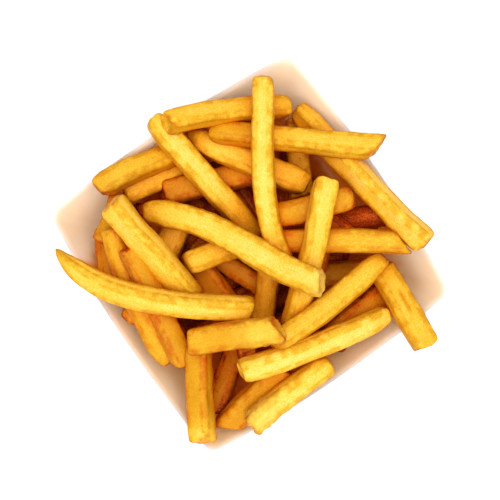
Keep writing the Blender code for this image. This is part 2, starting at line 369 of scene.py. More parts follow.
# Bottom to top
FRIES = (
    Fry(7, 13.5, -88, 34, 8.5, 0, 0, 10, CUT, CUT, AMBER),
    Fry(45.5, -13, -28, 31, 9.5, 0, 0, 0, CUT, CUT, DEEP, 0.3),
    Fry(36.5, -11, -73, 21, 8, 0, 0, 15, CUT, CUT, DEEP, 0.15),
    Fry(28.5, -30, -30, 32, 10.5, 0, 0, 0, CUT, CUT, GOLDEN, -0.1),
    Fry(-36.5, -37, -143, 34, 9.5, 0, 0, 10, CUT, CUT, DEEP),
    Fry(-16, -34.5, -21, 24, 9.5, 0, 0, 0, CUT, CUT, AMBER),
    Fry(-22, -46, -120, 22, 9, 0, 0, 0, CUT, CUT, DEEP),
    Fry(-50.5, 31.5, -115, 26, 9, 0, 0, 0, CUT, CUT, DEEP, -0.1),
    Fry(-25.5, 32, -95, 21, 8.5, 0, 0, 10, CUT, CUT, DEEP),
    Fry(-9, -1.5, -67, 40, 9, 0, 0, 10, CUT, CUT, AMBER, -0.05),
    Fry(-20.5, -3, -88, 34, 10.5, 0, 0, 15, CUT, CUT, AMBER),
    Fry(-4.5, -18.5, -132, 31, 9.5, 0, 0, 0, CUT, CUT, GOLDEN, -0.15),
    Fry(11.5, -26.5, -139, 38, 10.5, 0, 0, 10, CUT, CUT, DEEP),
    Fry(31.5, 1.5, -21, 36, 10.5, 0, 0, 0, CUT, ROUND, AMBER, 0.08),
    Fry(39.5, 21.5, -121, 34, 9.5, 0, 0, 0, CUT, CUT, GOLDEN, -0.26),
    Fry(-14.5, 48, -12, 31, 10.5, 0, 0, 5, ROUND, CUT, PALE, -0.07),
    Fry(2.5, 34.5, -21, 41, 10.5, 0, 0, -10, CUT, CUT, AMBER),
    Fry(-22.5, 24.5, -145, 25, 11.5, 0, 0, 0, CUT, CUT, PALE, -0.2),
    Fry(-40, 43.5, -143, 20, 9, 0, 0, 0, CUT, CUT, AMBER, -0.07),
    Fry(-50, 8, -160, 17, 8, 0, 0, 0, CUT, CUT, GOLDEN),
    Fry(-47, 10.5, -101, 60, 9, -3, 0, 10, CUT, ROUND, GOLDEN, 0.05),
    Fry(-43.5, 3.5, -99, 54, 9.5, 0, 0, -18, CUT, CUT, DEEP, 0.05),
    Fry(-11.5, 8, -13, 28, 10.5, 0, 0, 0, ROUND, CUT, GOLDEN, -0.1),
    Fry(34.5, -17.5, -35, 49, 9.5, 0.5, 0, 0, CUT, End.LONG_RIGHT, GOLDEN, 0.05),
    Fry(56, 1.5, -82, 77, 10.5, -1, 0, 40, ROUND, CUT, PALE),
    Fry(-48.5, -36.5, -122, 41, 10, -1, 0, 28, CUT, CUT, DEEP, 0.05, Mark.PALE_STOP),
    Fry(-31, -50.5, 12, 34, 11, 0, 0, 15, End.LONG_LEFT, CUT, DEEP),
    Fry(22.5, -46.5, 5, 33, 10.5, 0, 0, 10, CUT, CUT, DEEP),
    Fry(-18.5, 54.5, -8, 38, 10, 1, 0, -15, ROUND, CUT, GOLDEN, 0.02),
    Fry(21, 33, -57, 55, 11, 0, 0, -8, POINT, ROUND, PALE),
    Fry(41.5, 29, -40, 70, 9.5, -0.5, 0, -20, ROUND, End.LONG_LEFT, PALE, 0.1, Mark.SHADOWED_START),
    Fry(2, 37, -83, 64, 10, 0, 0, -14, ROUND, CUT, PALE),
    Fry(25, 52, -25, 52, 9.5, 2, 0, -20, CUT, ROUND, PALE, 0.09),
    Fry(20, -13.5, -137, 62, 9.5, 1, 0, -15, CUT, CUT, PALE, 0.02),
    Fry(-32.5, 22.5, -85, 52, 11, 0, 0, 35, CUT, CUT, PALE),
    Fry(40.5, -53.5, -95, 37, 11, 0, 0, -10, CUT, CUT, PALE, 0.12, Mark.GROOVE),
    Fry(16, -34, -176, 59, 9.5, 1.5, 0, 12, ROUND, ROUND, PALE, 0.12),
    Fry(-18.5, -57, 5, 42, 10, 1, 0, 20, CUT, ROUND, PALE, 0, Mark.ROUGH_START),
    Fry(-23.5, -24, -25, 37, 11, 0, 0, 0, CUT, End.LONG_RIGHT, AMBER, 0.04, Mark.ROUGH_STOP),
    Fry(2, -45, -14, 65, 9.5, -1.5, 0, 18, CUT, ROUND, PALE, -0.08),
    Fry(-38, 13, -51, 84, 9.5, -8.5, 0.5, 28, POINT, CUT, PALE, 0.02, Mark.RIDGE),
    Fry(27.5, 23, -117, 77, 9, -4.5, -0.7, 8, CUT, CUT, PALE, -0.03),
    Fry(-5, 6.5, -56, 79, 11, 3.5, 1.3, 0, ROUND, CUT, PALE, 0.03, Mark.FLAKED_STOP),
)


@dataclass(frozen=True)
class Pose:
    """How a fry lies: the height of its middle, its slope and its flex."""

    height: float
    slope: float
    flex: float


def fry_spine(fry: Fry, pose: Pose, along: np.ndarray) -> tuple[np.ndarray, np.ndarray]:
    """Run down the middle of a fry.

    Args:
        fry: The fry.
        pose: How it lies.
        along: Shares of its length.

    Returns:
        The middle at each share, and there the directions forward, left and up.
    """
    arc = 4 * along * (1 - along)
    out = (along - 0.5) * fry.span * MM
    aside = fry.bow * MM * arc * (1 + fry.lead * (1 - 2 * along))
    heading = math.radians(fry.heading)
    middle = np.stack(
        (
            fry.x * MM + out * math.cos(heading) - aside * math.sin(heading),
            fry.y * MM + out * math.sin(heading) + aside * math.cos(heading),
            pose.height + pose.slope * out + pose.flex * (arc - 2 / 3),
        ),
        axis=1,
    )
    forward = np.gradient(middle, along, axis=0)
    forward /= np.linalg.norm(forward, axis=1, keepdims=True)
    leftward = np.cross((0, 0, 1), forward)
    leftward /= np.linalg.norm(leftward, axis=1, keepdims=True)
    upward = np.cross(forward, leftward)
    return middle, np.stack((forward, leftward, upward))


def end_size(along: np.ndarray, fry: Fry) -> np.ndarray:
    """Narrow the section towards the ends.

    Args:
        along: Shares of the length.
        fry: The fry.

    Returns:
        The section's size at each share, from 1 down to the size of each end.
    """
    size = np.ones_like(along)
    for distance, end, _ in fry.ends(along):
        near = 1 - np.clip(distance / end.run, 0, 1)
        size = size * (end.least + (1 - end.least) * np.sqrt(1 - near**2))
    return size


def slant(along: np.ndarray, fry: Fry, left: np.ndarray) -> np.ndarray:
    """Slide the skin along the fry where an end is slanted.

    Args:
        along: Shares of the length.
        fry: The fry.
        left: How far the points lie to the left, round one section or in every ring.

    Returns:
        How far each point slides forward.
    """
    slide = np.zeros((len(along), left.shape[-1]))
    for distance, end, outwards in fry.ends(along):
        near = np.clip(1 - distance / fry.SLANT_RUN, 0, 1)
        slide += outwards * end.slant * near[:, None] * left
    return slide


class HeapMap:
    """The heights of the bowl and of the food laid so far, on a grid seen from above."""

    HALF = 110 * MM
    CELL = 0.5 * MM
    BITE = 1.2 * MM
    BED_BITE = 5 * MM
    TOUCH_WIDTH = 0.6  # share of a fry's width that can touch what lies under it
    TOUCH_ENDS = 0.06  # share of its length that can't, at each end
    TOUCH_PLACES = 41
    SKIN_PLACES = 61
    PER_SIDE = 5
    PRINT_STEP = 0.35  # millimetres along a fry between the points that raise the food
    PRINT_PER_SIDE = 10
    ROUNDS = 5
    START_HEIGHT = 50 * MM
    MOST_SLOPE = 0.3
    SLOPES = 73
    MOST_FLEX = 2.5 * MM
    FLEX_SPAN = 70 * MM  # length of a fry that can bend by just that
    FLEXES = 9
    SLOPE_COST = 0.1
    FLEX_COST = 0.15
    LOOKS = 12
    REACHES = (1.5 * MM, 3 * MM, 5 * MM, 8 * MM, 12 * MM, 18 * MM)

    def __init__(self, bowl: BowlProfile, core: "HeapCore") -> None:
        """Start with the bowl and the core.

        Args:
            bowl: The bowl's profile.
            core: The mound under the fries.
        """
        cells = int(2 * self.HALF / self.CELL)
        line = (np.arange(cells) + 0.5) * self.CELL - self.HALF
        x, y = np.meshgrid(line, line, indexing="ij")
        self.bowl = bowl.seat(x, y)
        self.food = core.top(x, y)

    def cell(self, points: np.ndarray) -> tuple[np.ndarray, ...]:
        """Grid indices of points."""
        return tuple(((points[..., axis] + self.HALF) / self.CELL).astype(int) for axis in (0, 1))

    @staticmethod
    def section(
        width: float, depth: float, roll: float, per_side: int
    ) -> tuple[np.ndarray, np.ndarray]:
        """Walk round a chamfered rectangle turned by its roll.

        Args:
            width, depth: Its sides.
            roll: Its turn in degrees.
            per_side: Steps along each of its eight sides.

        Returns:
            How far each point lies to the left and up.
        """
        cut = Fry.CHAMFER * min(width, depth)
        a, b = width / 2, depth / 2
        corners = [(a, cut - b), (a, b - cut), (a - cut, b), (cut - a, b)]
        corners += [(-x, -y) for x, y in corners]
        points = []
        for (x0, y0), (x1, y1) in zip(corners, corners[1:] + corners[:1]):
            for step in range(per_side):
                part = step / per_side
                points.append((x0 + (x1 - x0) * part, y0 + (y1 - y0) * part))
        points = np.array(points)
        turn = math.radians(roll)
        left = points[:, 0] * math.cos(turn) - points[:, 1] * math.sin(turn)
        up = points[:, 0] * math.sin(turn) + points[:, 1] * math.cos(turn)
        return left, up

    def skin(
        self, fry: Fry, pose: Pose, along: np.ndarray, per_side: int, share: float
    ) -> np.ndarray:
        """Place points on a fry's plain skin.

        Args:
            fry: The fry.
            pose: How it lies.
            along: Shares of its length.
            per_side: Points on each side of its section.
            share: Share of its width that is used.

        Returns:
            Points by share of the length and round the section.
        """
        left, up = self.section(share * fry.width * MM, fry.depth, fry.roll, per_side)
        middle, (forward, leftward, upward) = fry_spine(fry, pose, along)
        slide = slant(along, fry, left)
        flat = left[:, None] * leftward[:, None, :] + up[:, None] * upward[:, None, :]
        middle = middle[:, None, :] + slide[:, :, None] * forward[:, None, :]
        return middle + end_size(along, fry)[:, None, None] * flat

    def sunk(self, fry: Fry, pose: Pose, along: np.ndarray, bite: float) -> np.ndarray:
        """Measure how far the part of a fry that can touch lies below what should hold it.

        Args:
            fry: The fry.
            pose: How it lies.
            along: Shares of its length.
            bite: How far it presses into food.

        Returns:
            The depths by share of the length and round the section.
        """
        points = self.skin(fry, pose, along, self.PER_SIDE, self.TOUCH_WIDTH)
        here = self.cell(points)
        return np.maximum(self.food[here] - bite, self.bowl[here]) - points[..., 2]

    def settle(self, fry: Fry, bite: float) -> Pose:
        """Lower a fry until what lies under it holds it up.

        Args:
            fry: The fry.
            bite: How far it presses into what holds it.

        Returns:
            How it lies.
        """
        span = fry.span * MM
        along = np.linspace(self.TOUCH_ENDS, 1 - self.TOUCH_ENDS, self.TOUCH_PLACES)
        out = (along - 0.5) * span
        arc = 4 * along * (1 - along) - 2 / 3
        most_flex = self.MOST_FLEX * (span / self.FLEX_SPAN) ** 2
        slopes = np.linspace(-self.MOST_SLOPE, self.MOST_SLOPE, self.SLOPES)
        height, slope, flex = self.START_HEIGHT, 0.0, 0.0
        for _ in range(self.ROUNDS):
            raise_by = self.sunk(fry, Pose(height, slope, flex), along, bite).max(axis=1)
            choices = []
            for new_flex in np.linspace(-most_flex, most_flex, self.FLEXES):
                bent = raise_by - (new_flex - flex) * arc
                lift = (bent - (slopes[:, None] - slope) * out).max(axis=1)
                cost = lift + self.SLOPE_COST * np.abs(slopes) * span / 2
                cost += self.FLEX_COST * abs(new_flex)
                best = int(np.argmin(cost))
                choices.append((cost[best], lift[best], slopes[best], new_flex))
            _, lift, slope, flex = min(choices)
            height += lift
        height += max(0.0, self.sunk(fry, Pose(height, slope, flex), along, bite).max())
        whole = np.linspace(0, 1, self.SKIN_PLACES)
        points = self.skin(fry, Pose(height, slope, flex), whole, self.PER_SIDE, 1.0)
        height += max(0.0, (self.bowl[self.cell(points)] - points[..., 2]).max())
        return Pose(height, slope, flex)

    def add(self, fry: Fry, pose: Pose) -> None:
        """Raise the food where a fry lies.

        Args:
            fry: The fry.
            pose: How it lies.
        """
        places = int(fry.span / self.PRINT_STEP)
        along = np.linspace(self.TOUCH_ENDS, 1 - self.TOUCH_ENDS, places)
        points = self.skin(fry, pose, along, self.PRINT_PER_SIDE, self.TOUCH_WIDTH)
        np.maximum.at(self.food, self.cell(points), points[..., 2])

    def shelter(self, points: np.ndarray, by_bowl: bool = True) -> np.ndarray:
        """Tell how far points are closed in by what stands higher round them.

        Args:
            points: The points.
            by_bowl: Whether the bowl's walls count too, and not only the food.

        Returns:
            The share of the sky that is hidden from each, from 0 to 1.
        """
        top = np.maximum(self.bowl, self.food) if by_bowl else self.food
        hidden = np.zeros(points.shape[:-1])
        for turn in np.arange(self.LOOKS) * 2 * math.pi / self.LOOKS:
            rise = np.zeros_like(hidden)
            for reach in self.REACHES:
                there = points + (reach * math.cos(turn), reach * math.sin(turn), 0.0)
                rise = np.maximum(rise, (top[self.cell(there)] - there[..., 2]) / reach)
            hidden += rise**2 / (1 + rise**2) / self.LOOKS
        return hidden


# Materials


class Graph:
    """A node tree that is being built."""

    def __init__(self, tree: bpy.types.NodeTree) -> None:
        """Take the tree."""
        self.tree = tree

    def node(self, kind: str, inputs: dict | None = None, **settings: object) -> bpy.types.Node:
        """Add a node.

        Args:
            kind: The node's type.
            inputs: For each input, by name or number, a constant or the socket that feeds it.
            settings: Properties of the node.

        Returns:
            The node.
        """
        made = self.tree.nodes.new(kind)
        for name, value in settings.items():
            setattr(made, name, value)
        self.feed(made, inputs or {})
        return made

    def feed(self, node: bpy.types.Node, inputs: dict) -> None:
        """Feed a node's inputs.

        Args:
            node: The node.
            inputs: For each input, by name or number, a constant or the socket that feeds it.
        """
        for name, value in inputs.items():
            if isinstance(value, bpy.types.NodeSocket):
                self.tree.links.new(value, node.inputs[name])
            else:
                node.inputs[name].default_value = value

    def group(self, tree: bpy.types.NodeTree, inputs: dict) -> object:
        """Use a node group and give its outputs."""
        return self.node("ShaderNodeGroup", inputs, node_tree=tree).outputs

    def attribute(self, name: str, output: str = "Fac") -> object:
        """Read what is stored on the mesh under a name."""
        return self.node("ShaderNodeAttribute", attribute_name=name).outputs[output]

    def sum(
        self, operation: str, first: object, second: object = 0.0, clamp: bool = False
    ) -> object:
        """Work out a Math node.

        Args:
            operation: Its operation.
            first, second: Numbers or sockets.
            clamp: Whether the result is kept from 0 to 1.

        Returns:
            The socket with the result.
        """
        inputs = {0: first, 1: second}
        return self.node("ShaderNodeMath", inputs, operation=operation, use_clamp=clamp).outputs[0]

    def plus(self, first: object, second: object) -> object:
        """Add two numbers or sockets."""
        return self.sum("ADD", first, second)

    def times(self, first: object, second: object) -> object:
        """Multiply two numbers or sockets."""
        return self.sum("MULTIPLY", first, second)

    def mix(self, share: object, first: object, second: object, blend: str = "MIX") -> object:
        """Mix two colours.

        Args:
            share: How much of the second.
            first, second: Colours or sockets.
            blend: How they mix.

        Returns:
            The socket with the colour.
        """
        inputs = {0: share, 6: first, 7: second}
        return self.node("ShaderNodeMix", inputs, data_type="RGBA", blend_type=blend).outputs[2]

    def span(
        self, value: object, low: float, high: float, first: float = 0.0, last: float = 1.0
    ) -> object:
        """Ease from one number to another while a value goes from low to high.

        Args:
            value: The socket with the value.
            low, high: Where the change starts and ends.
            first, last: The result before and after it.

        Returns:
            The socket with the result.
        """
        limits = {"From Min": low, "From Max": high, "To Min": first, "To Max": last}
        inputs = {"Value": value, **limits}
        return self.node("ShaderNodeMapRange", inputs, interpolation_type="SMOOTHSTEP").outputs[0]

    def ramp(self, value: object, stops: tuple[tuple[float, Colour], ...]) -> object:
        """Read a colour ramp.

        Args:
            value: The socket with the place on the ramp.
            stops: Places and colours, in order.

        Returns:
            The socket with the colour.
        """
        made = self.node("ShaderNodeValToRGB", {"Fac": value})
        points = made.color_ramp.elements
        while len(points) < len(stops):
            points.new(0.5)
        for point, (place, colour) in zip(points, stops):
            point.position = place
            point.color = colour
        return made.outputs["Color"]

    def noise(
        self, vector: object, scale: float, detail: float = 2.0, rough: float = 0.5
    ) -> object:
        """Read fractal noise.

        Args:
            vector: The socket with the place.
            scale: Lumps in a metre.
            detail: Octaves.
            rough: How strong the finer octaves are.

        Returns:
            The socket with a value from 0 to 1.
        """
        inputs = {"Vector": vector, "Scale": scale, "Detail": detail, "Roughness": rough}
        return self.node("ShaderNodeTexNoise", inputs).outputs["Fac"]


def new_group(
    name: str, takes: dict[str, object], gives: tuple[str, ...]
) -> tuple[Graph, object, bpy.types.Node]:
    """Start a shader node group.

    Args:
        name: Its name.
        takes: For each input, its default, or "vector" for a place.
        gives: Its outputs, each a value.

    Returns:
        Its graph, what it is given, and the node that takes its results.
    """
    tree = bpy.data.node_groups.new(name, "ShaderNodeTree")
    for label, value in takes.items():
        kind = "NodeSocketVector" if value == "vector" else "NodeSocketFloat"
        socket = tree.interface.new_socket(label, in_out="INPUT", socket_type=kind)
        if value != "vector":
            socket.default_value = value
    for label in gives:
        tree.interface.new_socket(label, in_out="OUTPUT", socket_type="NodeSocketFloat")
    graph = Graph(tree)
    return graph, graph.node("NodeGroupInput").outputs, graph.node("NodeGroupOutput")


class Effects:
    """Node groups that several materials use, each built once."""

    def __init__(self) -> None:
        """Build the groups."""
        self.specks = self.build_specks()
        self.browning = self.build_browning()
        self.skin = self.build_skin()

    @staticmethod
    def build_specks() -> bpy.types.NodeTree:
        """Scattered round specks, with a share of the cells left empty.

        Returns:
            The group, which gives a mask.
        """
        takes = {"Vector": "vector", "Scale": 300.0, "Size": 0.2, "Share": 0.3}
        graph, given, result = new_group("scattered specks", takes, ("Mask",))
        place = {"Vector": given["Vector"], "Scale": given["Scale"]}
        cells = graph.node("ShaderNodeTexVoronoi", place).outputs
        pick = graph.node("ShaderNodeSeparateColor", {"Color": cells["Color"]}).outputs
        kept = graph.sum("LESS_THAN", pick["Red"], given["Share"])
        size = graph.times(given["Size"], graph.plus(pick["Green"], 0.4))
        inner = graph.sum("DIVIDE", cells["Distance"], size)
        dot = graph.span(inner, low=0.5, high=1.0, first=1.0, last=0.0)
        graph.feed(result, {"Mask": graph.times(dot, kept)})
        return graph.tree

    @staticmethod
    def build_browning() -> bpy.types.NodeTree:
        """How far the crust is fried at each place, more at edges and ends and in patches, and
        darker still where it is closed in, which is painted shade.

        Returns:
            The group, which gives a value from 0 to 1.
        """
        takes = {
            "Vector": "vector", "Edge": 0.0, "Tip": 0.0, "Shelter": 0.0, "Own Tone": 0.0,
            "Doneness": 0.3, "Edge Strength": 0.3, "Tip Strength": 0.1, "Painted Shade Strength": 0.3,
            "Patches": 0.2,
        }
        graph, given, result = new_group("crust browning", takes, ("Doneness",))
        place = given["Vector"]
        broad = graph.sum("SUBTRACT", graph.noise(place, scale=120.0, detail=3.0), 0.5)
        fine = graph.sum("SUBTRACT", graph.noise(place, scale=900.0, detail=3.0, rough=0.6), 0.5)
        patch = graph.plus(broad, graph.times(fine, 0.55))
        total = graph.plus(given["Doneness"], given["Own Tone"])
        total = graph.plus(total, graph.times(patch, given["Patches"]))
        uneven = graph.noise(place, scale=260.0)
        uneven = graph.span(uneven, low=0.35, high=0.65, first=0.3, last=1.6)
        edge = graph.times(graph.times(given["Edge"], given["Edge Strength"]), uneven)
        tip = graph.times(graph.times(given["Tip"], given["Tip Strength"]), uneven)
        # Painted shade: places closed in by the heap are pushed towards the darker colours.
        total = graph.plus(total, graph.times(given["Shelter"], given["Painted Shade Strength"]))
        total = graph.sum("ADD", total, graph.plus(edge, tip), clamp=True)
        graph.feed(result, {"Doneness": total})
        return graph.tree

    @staticmethod
    def build_skin() -> bpy.types.NodeTree:
        """The relief of fried skin: pimples, pores and fibres along the fry.

        Returns:
            The group, which gives a height and a mottle mask.
        """
        takes = {"Vector": "vector", "Fibre": 0.4, "Pimple": 0.5}
        graph, given, result = new_group("fried skin", takes, ("Height", "Mottle"))
        place = given["Vector"]
        drawn_out = {"Vector": place, "Scale": (0.35, 1.0, 1.0)}
        stretched = graph.node("ShaderNodeMapping", drawn_out).outputs[0]
        fibre = graph.noise(stretched, scale=1500.0)
        pimple = graph.noise(place, scale=1900.0, detail=3.0, rough=0.65)
        coarse = graph.noise(place, scale=750.0, rough=0.55)
        fine = graph.plus(graph.times(fibre, given["Fibre"]), graph.times(pimple, given["Pimple"]))
        mottle = graph.plus(graph.times(pimple, 0.75), graph.times(fibre, 0.25))
        graph.feed(result, {"Height": graph.plus(fine, coarse), "Mottle": mottle})
        return graph.tree


def shader_of(made: bpy.types.Material) -> tuple[Graph, bpy.types.Node]:
    """Clear a material down to its Principled shader.

    Args:
        made: The material.

    Returns:
        Its graph and its shader.
    """
    made.use_nodes = True
    return Graph(made.node_tree), made.node_tree.nodes["Principled BSDF"]


@dataclass(frozen=True)
class CrustFinish:
    """Fried potato: yellow where it is pale, orange and brown where it is fried further. Closed-in
    places are also painted darker and warmer, as painted shade.
    """

    name: str
    tone: Tone
    edge: float = 0.17
    tip: float = 0.14
    # Painted shade: how far closed-in places are pushed towards the darker colours.
    shelter: float = 0.36
    patches: float = 0.2
    mottle: float = 0.18
    specks: float = 0.05
    speck_scale: float = 330.0
    speck_size: float = 0.17
    speck_strength: float = 0.4
    relief: float = 0.2 * MM
    relief_strength: float = 0.8
    roughness: tuple[float, float] = (0.36, 0.58)
    colours: tuple = (
        (0.00, srgb(223, 187, 102)),
        (0.20, srgb(213, 163, 52)),
        (0.42, srgb(187, 138, 28)),
        (0.70, srgb(174, 109, 10)),
        (0.88, srgb(171, 82, 4)),
        (1.00, srgb(120, 43, 3)),
    )
    starch: Colour = srgb(206, 182, 104)
    speck: Colour = srgb(104, 52, 14)
    # A darker, warmer tint multiplied in where the crust is closed in: painted shade.
    painted_shade_tint: Colour = (1.25, 0.98, 0.6, 1.0)

    def make(self, effects: Effects) -> bpy.types.Material:
        """Build the material.

        Args:
            effects: The shared node groups.

        Returns:
            The material.
        """
        made = bpy.data.materials.new(self.name)
        graph, shader = shader_of(made)
        grain = graph.attribute("grain", "Vector")
        shelter = graph.attribute("crust_painted_shade")
        skin = graph.group(effects.skin, {"Vector": grain})
        spots = {"Scale": self.speck_scale, "Size": self.speck_size, "Share": self.specks}
        spot = graph.group(effects.specks, {"Vector": grain, **spots})["Mask"]
        done = graph.group(effects.browning, {
            "Vector": grain,
            "Edge": graph.attribute("crust_edge"),
            "Tip": graph.attribute("crust_tip"),
            "Shelter": shelter,
            "Own Tone": graph.attribute("crust_tone"),
            "Doneness": self.tone.value,
            "Edge Strength": self.edge,
            "Tip Strength": self.tip,
            "Painted Shade Strength": self.shelter,
            "Patches": self.patches,
        })["Doneness"]
        mottle = graph.sum("SUBTRACT", graph.span(skin["Mottle"], low=0.36, high=0.64), 0.5)
        done = graph.sum("ADD", done, graph.times(mottle, self.mottle), clamp=True)
        colour = graph.ramp(done, self.colours)
        # Painted shade: closed-in places are tinted darker and warmer.
        deep = graph.span(shelter, low=0.08, high=0.6)
        colour = graph.mix(deep, colour, self.painted_shade_tint, "MULTIPLY")
        flakes = graph.span(skin["Mottle"], low=0.42, high=0.56)
        pale = graph.times(graph.attribute("crust_starch"), flakes)
        colour = graph.mix(pale, colour, self.starch)
        colour = graph.mix(graph.times(spot, self.speck_strength), colour, self.speck)
        rough = graph.span(skin["Mottle"], 0.3, 0.7, *self.roughness)
        bump = {"Height": skin["Height"], "Distance": self.relief, "Strength": self.relief_strength}
        normal = graph.node("ShaderNodeBump", bump).outputs["Normal"]
        graph.feed(shader, {"Base Color": colour, "Roughness": rough, "Normal": normal})
        shader.inputs["Specular IOR Level"].default_value = 0.2
        shader.inputs["Specular Tint"].default_value = (1.0, 0.85, 0.6, 1.0)
        return made


@dataclass(frozen=True)
class GlazeFinish:
    """White glazed porcelain, with a bare foot ring, and a warm film inside that is partly oil and
    partly painted bounce light and painted shade from the fries.
    """

    name: str = "white glaze"
    white: Colour = srgb(243, 240, 236)
    off_white: Colour = srgb(239, 235, 229)
    speck: Colour = srgb(176, 164, 148)
    clay: Colour = srgb(222, 212, 198)
    dark_clay: Colour = srgb(203, 190, 172)
    # Partly oil, partly painted warm light bounced off the fries.
    oil_and_bounce_light: Colour = srgb(228, 182, 128)
    # Partly pooled oil, partly painted shade where the food closes in the wall.
    pooled_oil_and_shade: Colour = srgb(222, 140, 46)
    # Painted light: a negative share that pales the film beside the food.
    painted_light_near_food: float = -0.1
    far_from_food: float = 0.73
    speck_strength: float = 0.25
    foot_height: float = 0.5 * MM
    gloss: tuple[float, float] = (0.10, 0.17)
    clay_roughness: float = 0.75
    relief: float = 0.05 * MM
    relief_strength: float = 0.5

    def make(self, effects: Effects) -> bpy.types.Material:
        """Build the material.

        Args:
            effects: The shared node groups.

        Returns:
            The material.
        """
        made = bpy.data.materials.new(self.name)
        graph, shader = shader_of(made)
        place = graph.node("ShaderNodeTexCoord").outputs["Object"]
        cloud = graph.span(graph.noise(place, scale=22.0, detail=3.0), low=0.35, high=0.65)
        colour = graph.mix(cloud, self.white, self.off_white)
        spots = {"Vector": place, "Scale": 160.0, "Size": 0.07, "Share": 0.10}
        spot = graph.group(effects.specks, spots)["Mask"]
        colour = graph.mix(graph.times(spot, self.speck_strength), colour, self.speck)
        smear = graph.noise(place, scale=60.0, detail=4.0, rough=0.6)
        smear = graph.span(smear, low=0.25, high=0.75, first=0.85, last=1.1)
        shelter = graph.attribute("shelter")
        # Painted light: the film is paler just beside the food, against the shade there.
        near = graph.times(graph.span(shelter, low=0.0, high=0.3), self.painted_light_near_food)
        film = graph.plus(graph.times(graph.attribute("film"), self.far_from_food), near)
        colour = graph.mix(graph.sum("MULTIPLY", film, smear, clamp=True), colour, self.oil_and_bounce_light)
        # Partly pooled oil, partly painted shade: deep orange where the food closes in the wall.
        pool = graph.span(graph.times(shelter, smear), low=0.45, high=0.95)
        colour = graph.mix(pool, colour, self.pooled_oil_and_shade)
        height = graph.node("ShaderNodeSeparateXYZ", {"Vector": place}).outputs["Z"]
        bare = graph.span(height, self.foot_height * 0.6, self.foot_height, first=1.0, last=0.0)
        clay = graph.mix(graph.noise(place, scale=900.0, detail=4.0), self.clay, self.dark_clay)
        colour = graph.mix(bare, colour, clay)
        gloss = graph.span(graph.noise(place, scale=300.0, detail=3.0), 0.3, 0.7, *self.gloss)
        rough = graph.sum("MAXIMUM", gloss, graph.times(bare, self.clay_roughness))
        wave = graph.plus(graph.noise(place, scale=90.0), graph.times(bare, 0.4))
        bump = {"Height": wave, "Distance": self.relief, "Strength": self.relief_strength}
        normal = graph.node("ShaderNodeBump", bump).outputs["Normal"]
        graph.feed(shader, {"Base Color": colour, "Roughness": rough, "Normal": normal})
        shader.inputs["Subsurface Weight"].default_value = 0.5
        shader.inputs["Subsurface Radius"].default_value = (1.0, 0.9, 0.8)
        shader.inputs["Subsurface Scale"].default_value = 8 * MM
        return made


# Meshes


def tube_faces(rows: int, columns: int, first: int = 0) -> tuple[np.ndarray, np.ndarray]:
    """Join rings of points, and close both ends to the two middle points that follow the rings.

    Args:
        rows: How many rings.
        columns: Points in a ring.
        first: Number of the first point.

    Returns:
        Four corners for each face along the side, and three for each at the ends.
    """
    row = np.arange(rows - 1)[:, None] * columns
    here = np.arange(columns)
    after = (here + 1) % columns
    corners = (row + here, row + after, row + columns + after, row + columns + here)
    last, middle = (rows - 1) * columns, rows * columns
    low = np.column_stack((after, here, np.full(columns, middle)))
    high = np.column_stack((last + here, last + after, np.full(columns, middle + 1)))
    return np.stack(corners, axis=-1).reshape(-1, 4) + first, np.concatenate((low, high)) + first


def new_piece(
    name: str, points: np.ndarray, quads: np.ndarray, fans: np.ndarray
) -> bpy.types.Object:
    """Make an object from points and faces.

    Args:
        name: Its name.
        points: Its points.
        quads: Four corners for each four-sided face.
        fans: Three corners for each triangle.

    Returns:
        The object.
    """
    mesh = bpy.data.meshes.new(name)
    mesh.vertices.add(len(points))
    mesh.vertices.foreach_set("co", points.astype(np.float32).ravel())
    corners = np.concatenate((quads.ravel(), fans.ravel()))
    starts = np.concatenate((np.arange(len(quads)) * 4, 4 * len(quads) + np.arange(len(fans)) * 3))
    mesh.loops.add(len(corners))
    mesh.loops.foreach_set("vertex_index", corners.astype(np.int32))
    mesh.polygons.add(len(starts))
    mesh.polygons.foreach_set("loop_start", starts.astype(np.int32))
    mesh.update(calc_edges=True)
    mesh.validate()
    mesh.shade_smooth()
    obj = bpy.data.objects.new(name, mesh)
    bpy.context.scene.collection.objects.link(obj)
    return obj


def store(obj: bpy.types.Object, values: dict[str, np.ndarray]) -> None:
    """Store numbers on a piece's points for its material.

    Args:
        obj: The piece.
        values: Numbers by name, one for each point.
    """
    for name, numbers in values.items():
        layer = obj.data.attributes.new(name, "FLOAT", "POINT")
        layer.data.foreach_set("value", numbers.astype(np.float32))


